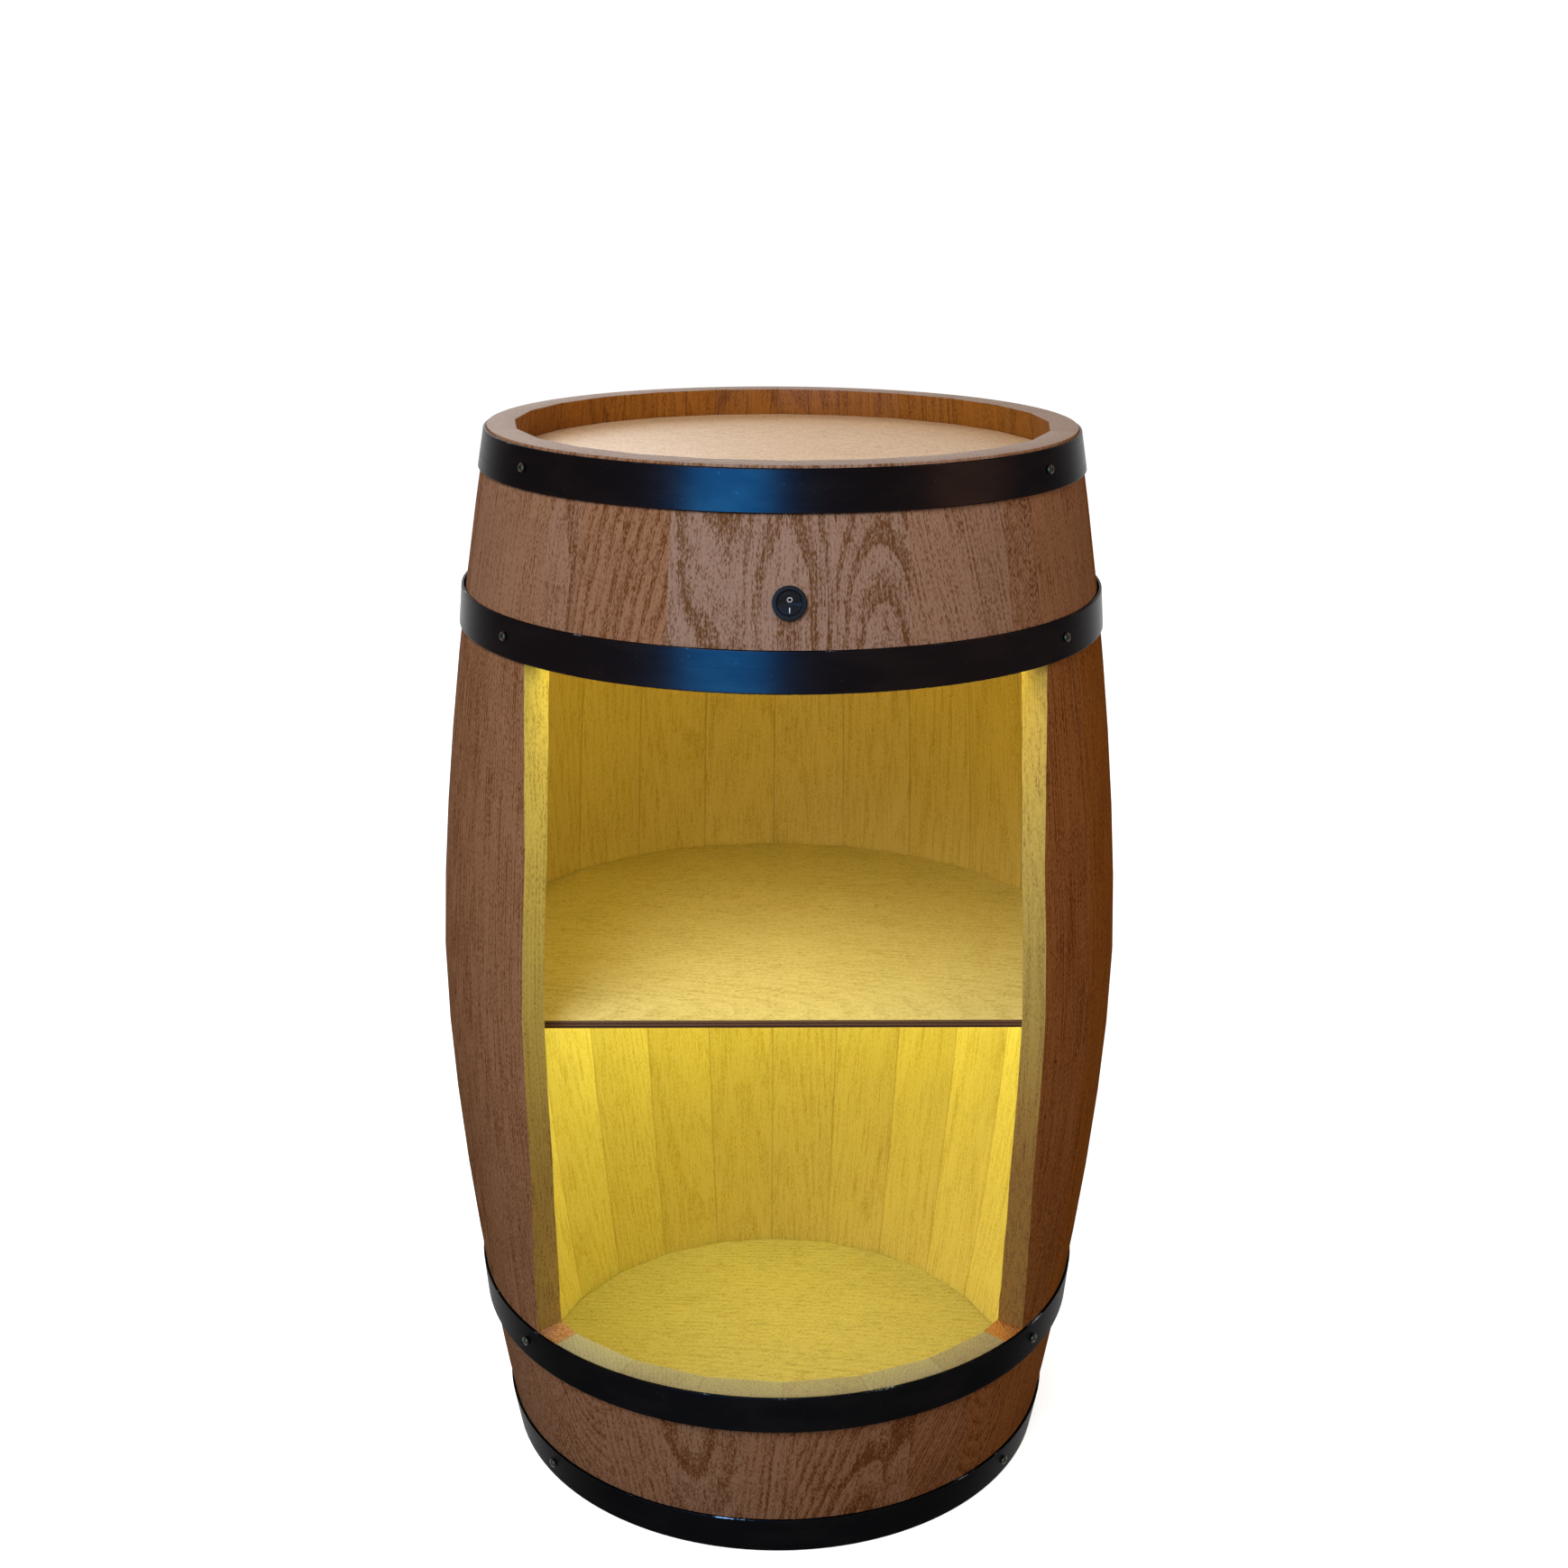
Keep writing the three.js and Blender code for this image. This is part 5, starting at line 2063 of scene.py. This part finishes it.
    def marks(self, swing: Matrix, rise: float) -> None:
        """The round off mark above and the upright on mark below.

        Args:
            swing: The rocker's frame.
            rise: Slope of its two halves.
        """
        lift, wide, radius = self.mark_lift, self.mark_width, self.ring_radius
        outer, inner = radius + wide / 2, radius - wide / 2
        profile = [(inner, -lift), (outer, -lift), (outer, lift), (inner, lift), (inner, -lift)]
        ring = turned("switch_mark_off", profile, 32)
        bar_high = self.bar_height / 2
        bar = block("switch_mark_on", (-wide / 2, -bar_high, -lift), (wide / 2, bar_high, lift))
        round_edges(bar, wide / 3, lambda edge: abs(edge.verts[0].co.z - edge.verts[1].co.z) > lift)
        for mark, at in ((ring, self.ring_place), (bar, self.bar_place)):
            lean = math.atan(rise) * (1.0 if at > 0.0 else -1.0)
            rest = shift(y=at, z=self.rocker_face + abs(at) * rise)
            mark.data.transform(swing @ rest @ Matrix.Rotation(lean, 4, "X"))
            coat(mark, PAINT_WHITE)
            smooth(mark)
            dress(mark, Body.ROCKER, Slot.SWITCH)

    def build(self) -> None:
        """Makes the switch."""
        self.housing()
        self.tabs()
        self.rocker()


@dataclass
class Inlet:
    """Round power inlet in a back stave, with its nut inside."""

    barrel: Barrel
    angle: float = 172.5
    height: float = 0.7117
    flange_radius: float = 0.007
    flange_thickness: float = 0.002
    radius: float = 0.0055
    bore_radius: float = 0.003
    bore_depth: float = 0.012
    pin_radius: float = 0.001
    nut_radius: float = 0.008
    nut_thickness: float = 0.003
    tail: float = 0.002

    @property
    def place(self) -> Matrix:
        """Frame of the inlet on the back of the barrel."""
        return self.barrel.surface(self.angle, self.height)

    @property
    def wall(self) -> float:
        """Thickness of the stave, straight through the wood."""
        barrel = self.barrel
        lean = math.atan(-barrel.slope(self.height))
        return (barrel.outer(self.height) - barrel.facet(self.height)) * math.cos(lean)

    @property
    def back(self) -> float:
        """Where the thread ends, behind the nut."""
        return -(self.wall + self.barrel.fit_gap + self.nut_thickness + self.tail)

    def holes(self, stave_angle: float) -> list[bpy.types.Object]:
        """Cutter for the hole, if the stave at an angle holds it."""
        if abs(self.angle - stave_angle) > self.barrel.pitch / 2:
            return []
        through = 2 * self.barrel.thickness
        cutter = post("inlet_hole_cutter", self.radius + self.barrel.fit_gap, -through, through, 32)
        cutter.data.transform(self.place)
        return [cutter]

    def socket(self) -> None:
        """Threaded socket with a flange outside and a pin in its bore."""
        gap, back = self.barrel.fit_gap, self.back
        front = gap + self.flange_thickness
        bend = self.flange_thickness / 3
        threads = []
        pitch = self.tail / 2
        for i in range(int((self.wall + self.nut_thickness) / pitch)):
            start = back + self.tail / 2 + i * pitch
            threads += [(self.radius, start), (self.radius - gap, start + pitch / 2)]
        profile = [
            (0.0, back),
            (self.radius - bend, back),
            *threads,
            (self.radius, -gap),
            (self.radius, gap),
            (self.flange_radius, gap),
            *rounded_rim(self.flange_radius, front, bend, 3),
            (self.bore_radius + gap, front),
            (self.bore_radius, front - gap),
            (self.bore_radius, front - self.bore_depth),
            (self.pin_radius, front - self.bore_depth),
            (self.pin_radius, -gap),
            (0.0, 0.0),
        ]
        socket = turned("inlet_socket", profile, 40)
        socket.data.transform(self.place)
        coat(socket, SWITCH_BLACK)
        smooth(socket)
        dress(socket, Body.CABINET, Slot.SWITCH, "power_inlet")

    def nut(self) -> None:
        """Six-sided nut on the thread, against the inside of the wood."""
        gap = self.barrel.fit_gap
        top = -self.wall - gap
        nut = post("inlet_ring_nut", self.nut_radius, top - self.nut_thickness, top, 6)
        bore = post("nut_bore", self.radius + gap, 2 * self.back, 0.0, 32)
        cut_out(nut, bore)
        discard(bore)
        round_edges(nut, gap, is_sharp(50.0), 2)
        nut.data.transform(self.place)
        coat(nut, PLATED)
        smooth(nut)
        dress(nut, Body.CABINET, Slot.PIN, "inlet_nut")

    def build(self) -> None:
        """Makes the inlet and its nut."""
        self.socket()
        self.nut()


@dataclass
class Leads:
    """Leads fixed inside the barrel, smoothed from the solids' own routes."""

    names: tuple[str, ...] = (
        "lead_inlet_to_switch",
        "lead_switch_to_upper_strip",
        "lead_switch_to_lower_strip",
    )

    def build(self) -> None:
        """Rounds a merged copy of each lead."""
        for name in self.names:
            piece = copied(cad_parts[name], name.replace("lead", "wire"))
            activate(piece)
            close_up(piece)
            with editing(piece):
                bpy.ops.mesh.select_all(action="SELECT")
                bpy.ops.mesh.customdata_custom_splitnormals_clear()
            coat(piece, SHEATH)
            smooth(piece, 60.0)
            dress(piece, Body.CABINET, Slot.LEAD, name)


# Camera and studio


@dataclass
class PhotoCamera:
    """Camera of the photograph; its picture, focal length and centre are in the photograph's pixels."""

    place: tuple[float, float, float] = (-0.0350, -1.5505, 1.0042)
    heading: float = 1.3
    pitch: float = 11.42
    roll: float = 0.41
    picture: float = 1739.0
    focal: float = 2297.5
    centre: tuple[float, float] = (866.95, 621.79)
    sensor: float = 36.0

    def build(self) -> None:
        """Adds the camera and makes it the scene's."""
        data = bpy.data.cameras.new("photo_camera")
        data.sensor_width = self.sensor
        data.lens = self.focal / self.picture * self.sensor
        data.shift_x = (self.picture / 2 - self.centre[0]) / self.picture
        data.shift_y = -(self.picture / 2 - self.centre[1]) / self.picture
        camera = bpy.data.objects.new("photo_camera", data)
        bpy.context.scene.collection.objects.link(camera)
        turn = rotation(-self.heading) @ rotation(90.0 - self.pitch, "X") @ rotation(self.roll)
        camera.matrix_world = Matrix.Translation(self.place) @ turn
        bpy.context.scene.camera = camera


@dataclass(frozen=True)
class Lamp:
    """A soft square lamp."""

    name: str
    place: tuple[float, float, float]
    size: float
    power: float
    colour: Colour = (1.0, 1.0, 1.0)
    lights: bool = True

    def build(self, aim: Sequence[float]) -> None:
        """Adds the lamp, facing a point; one that only gleams doesn't light the colours."""
        data = bpy.data.lights.new(self.name, "AREA")
        data.size = self.size
        data.energy = self.power
        data.color = self.colour
        lamp = bpy.data.objects.new(self.name, data)
        bpy.context.scene.collection.objects.link(lamp)
        lamp.visible_diffuse = self.lights
        turn = (Vector(aim) - Vector(self.place)).to_track_quat("-Z", "Y").to_matrix().to_4x4()
        lamp.matrix_world = Matrix.Translation(self.place) @ turn


@dataclass
class Studio:
    """Plain pale floor, white surroundings and soft lamps."""

    floor_size: float = 40.0
    floor_colour: Colour = (0.12, 0.12, 0.12)
    floor_seen: Colour = (0.80, 0.80, 0.80)
    floor_glow: Colour = (0.78, 0.78, 0.78)
    floor_rough: Stretch = (0.90, 0.95)
    cloud: Pattern = even(0.8)
    sky: float = 0.28
    aim: tuple[float, float, float] = (0.0, 0.0, 0.45)
    lamps: tuple[Lamp, ...] = (
        Lamp("key_lamp", (-1.4, -2.6, 2.9), 2.2, 100.0, (1.0, 0.97, 0.94)),
        Lamp("warm_lamp", (2.9, -1.2, 1.5), 1.6, 23.0, (1.0, 0.64, 0.32)),
        Lamp("back_lamp", (-1.0, 2.8, 2.4), 1.8, 34.0),
        Lamp("cool_window", (-0.93, -2.68, 0.86), 1.4, 300.0, (0.0, 0.36, 1.0), False),
    )

    def seen(self, nodes: Nodes) -> bpy.types.NodeSocket:
        """1 for camera, mirrored and see-through rays, and 0 for light on the object."""
        path = nodes.add("LightPath").outputs
        either = nodes.math("MAXIMUM", path["Is Camera Ray"], path["Is Glossy Ray"])
        return nodes.math("MAXIMUM", either, path["Is Transmission Ray"])

    def floor(self) -> None:
        """Floor that looks white and keeps the shadow."""
        deselect_all()
        bpy.ops.mesh.primitive_plane_add(size=self.floor_size, location=(0.0, 0.0, 0.0))
        piece = named("studio_floor")
        material = bpy.data.materials.new("studio_floor")
        material.use_nodes = True
        nodes = Nodes(material.node_tree)
        seen = self.seen(nodes)
        values = {
            "Base Color": nodes.mix("MIX", seen, self.floor_colour, self.floor_seen),
            "Roughness": nodes.spread(nodes.noise(nodes.place(), self.cloud), *self.floor_rough),
            "Specular IOR Level": 0.0,
            "Emission Color": nodes.mix("MIX", seen, (0.0, 0.0, 0.0), self.floor_glow),
            "Emission Strength": 1.0,
        }
        nodes.fill(material.node_tree.nodes["Principled BSDF"], values)
        piece.data.materials.append(material)

    def world(self) -> None:
        """White surroundings for the camera and a soft even sky for the light."""
        world = bpy.data.worlds.new("studio_world")
        bpy.context.scene.world = world
        world.use_nodes = True
        nodes = Nodes(world.node_tree)
        strength = nodes.spread(self.seen(nodes), self.sky, 1.0)
        values = {"Color": (1.0, 1.0, 1.0), "Strength": strength}
        nodes.fill(world.node_tree.nodes["Background"], values)

    def build(self) -> None:
        """Adds the floor, the world and the lamps."""
        self.floor()
        self.world()
        for lamp in self.lamps:
            lamp.build(self.aim)


def main() -> None:
    """Builds the cabinet in order, then the camera and the studio."""
    scene = bpy.context.scene
    scene.view_settings.view_transform = "Standard"
    PhotoCamera().build()
    low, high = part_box("floor_board")
    barrel = Barrel(axis=(low.y + high.y) / 2)
    staves = Staves(barrel)
    hoops = Hoops(barrel)
    boards = Boards(barrel, staves)
    switch = Switch(barrel)
    inlet = Inlet(barrel)
    staves.build(
        switch.hole,
        lambda angle: hoops.bores(angle) + boards.peg_bores(angle) + inlet.holes(angle),
    )
    hoops.build()
    boards.build()
    LightStrips(barrel).build()
    switch.build()
    inlet.build()
    Leads().build()
    Studio().build()


if __name__ == "__main__":
    logging.basicConfig(level=logging.INFO, format="%(message)s")
    main()
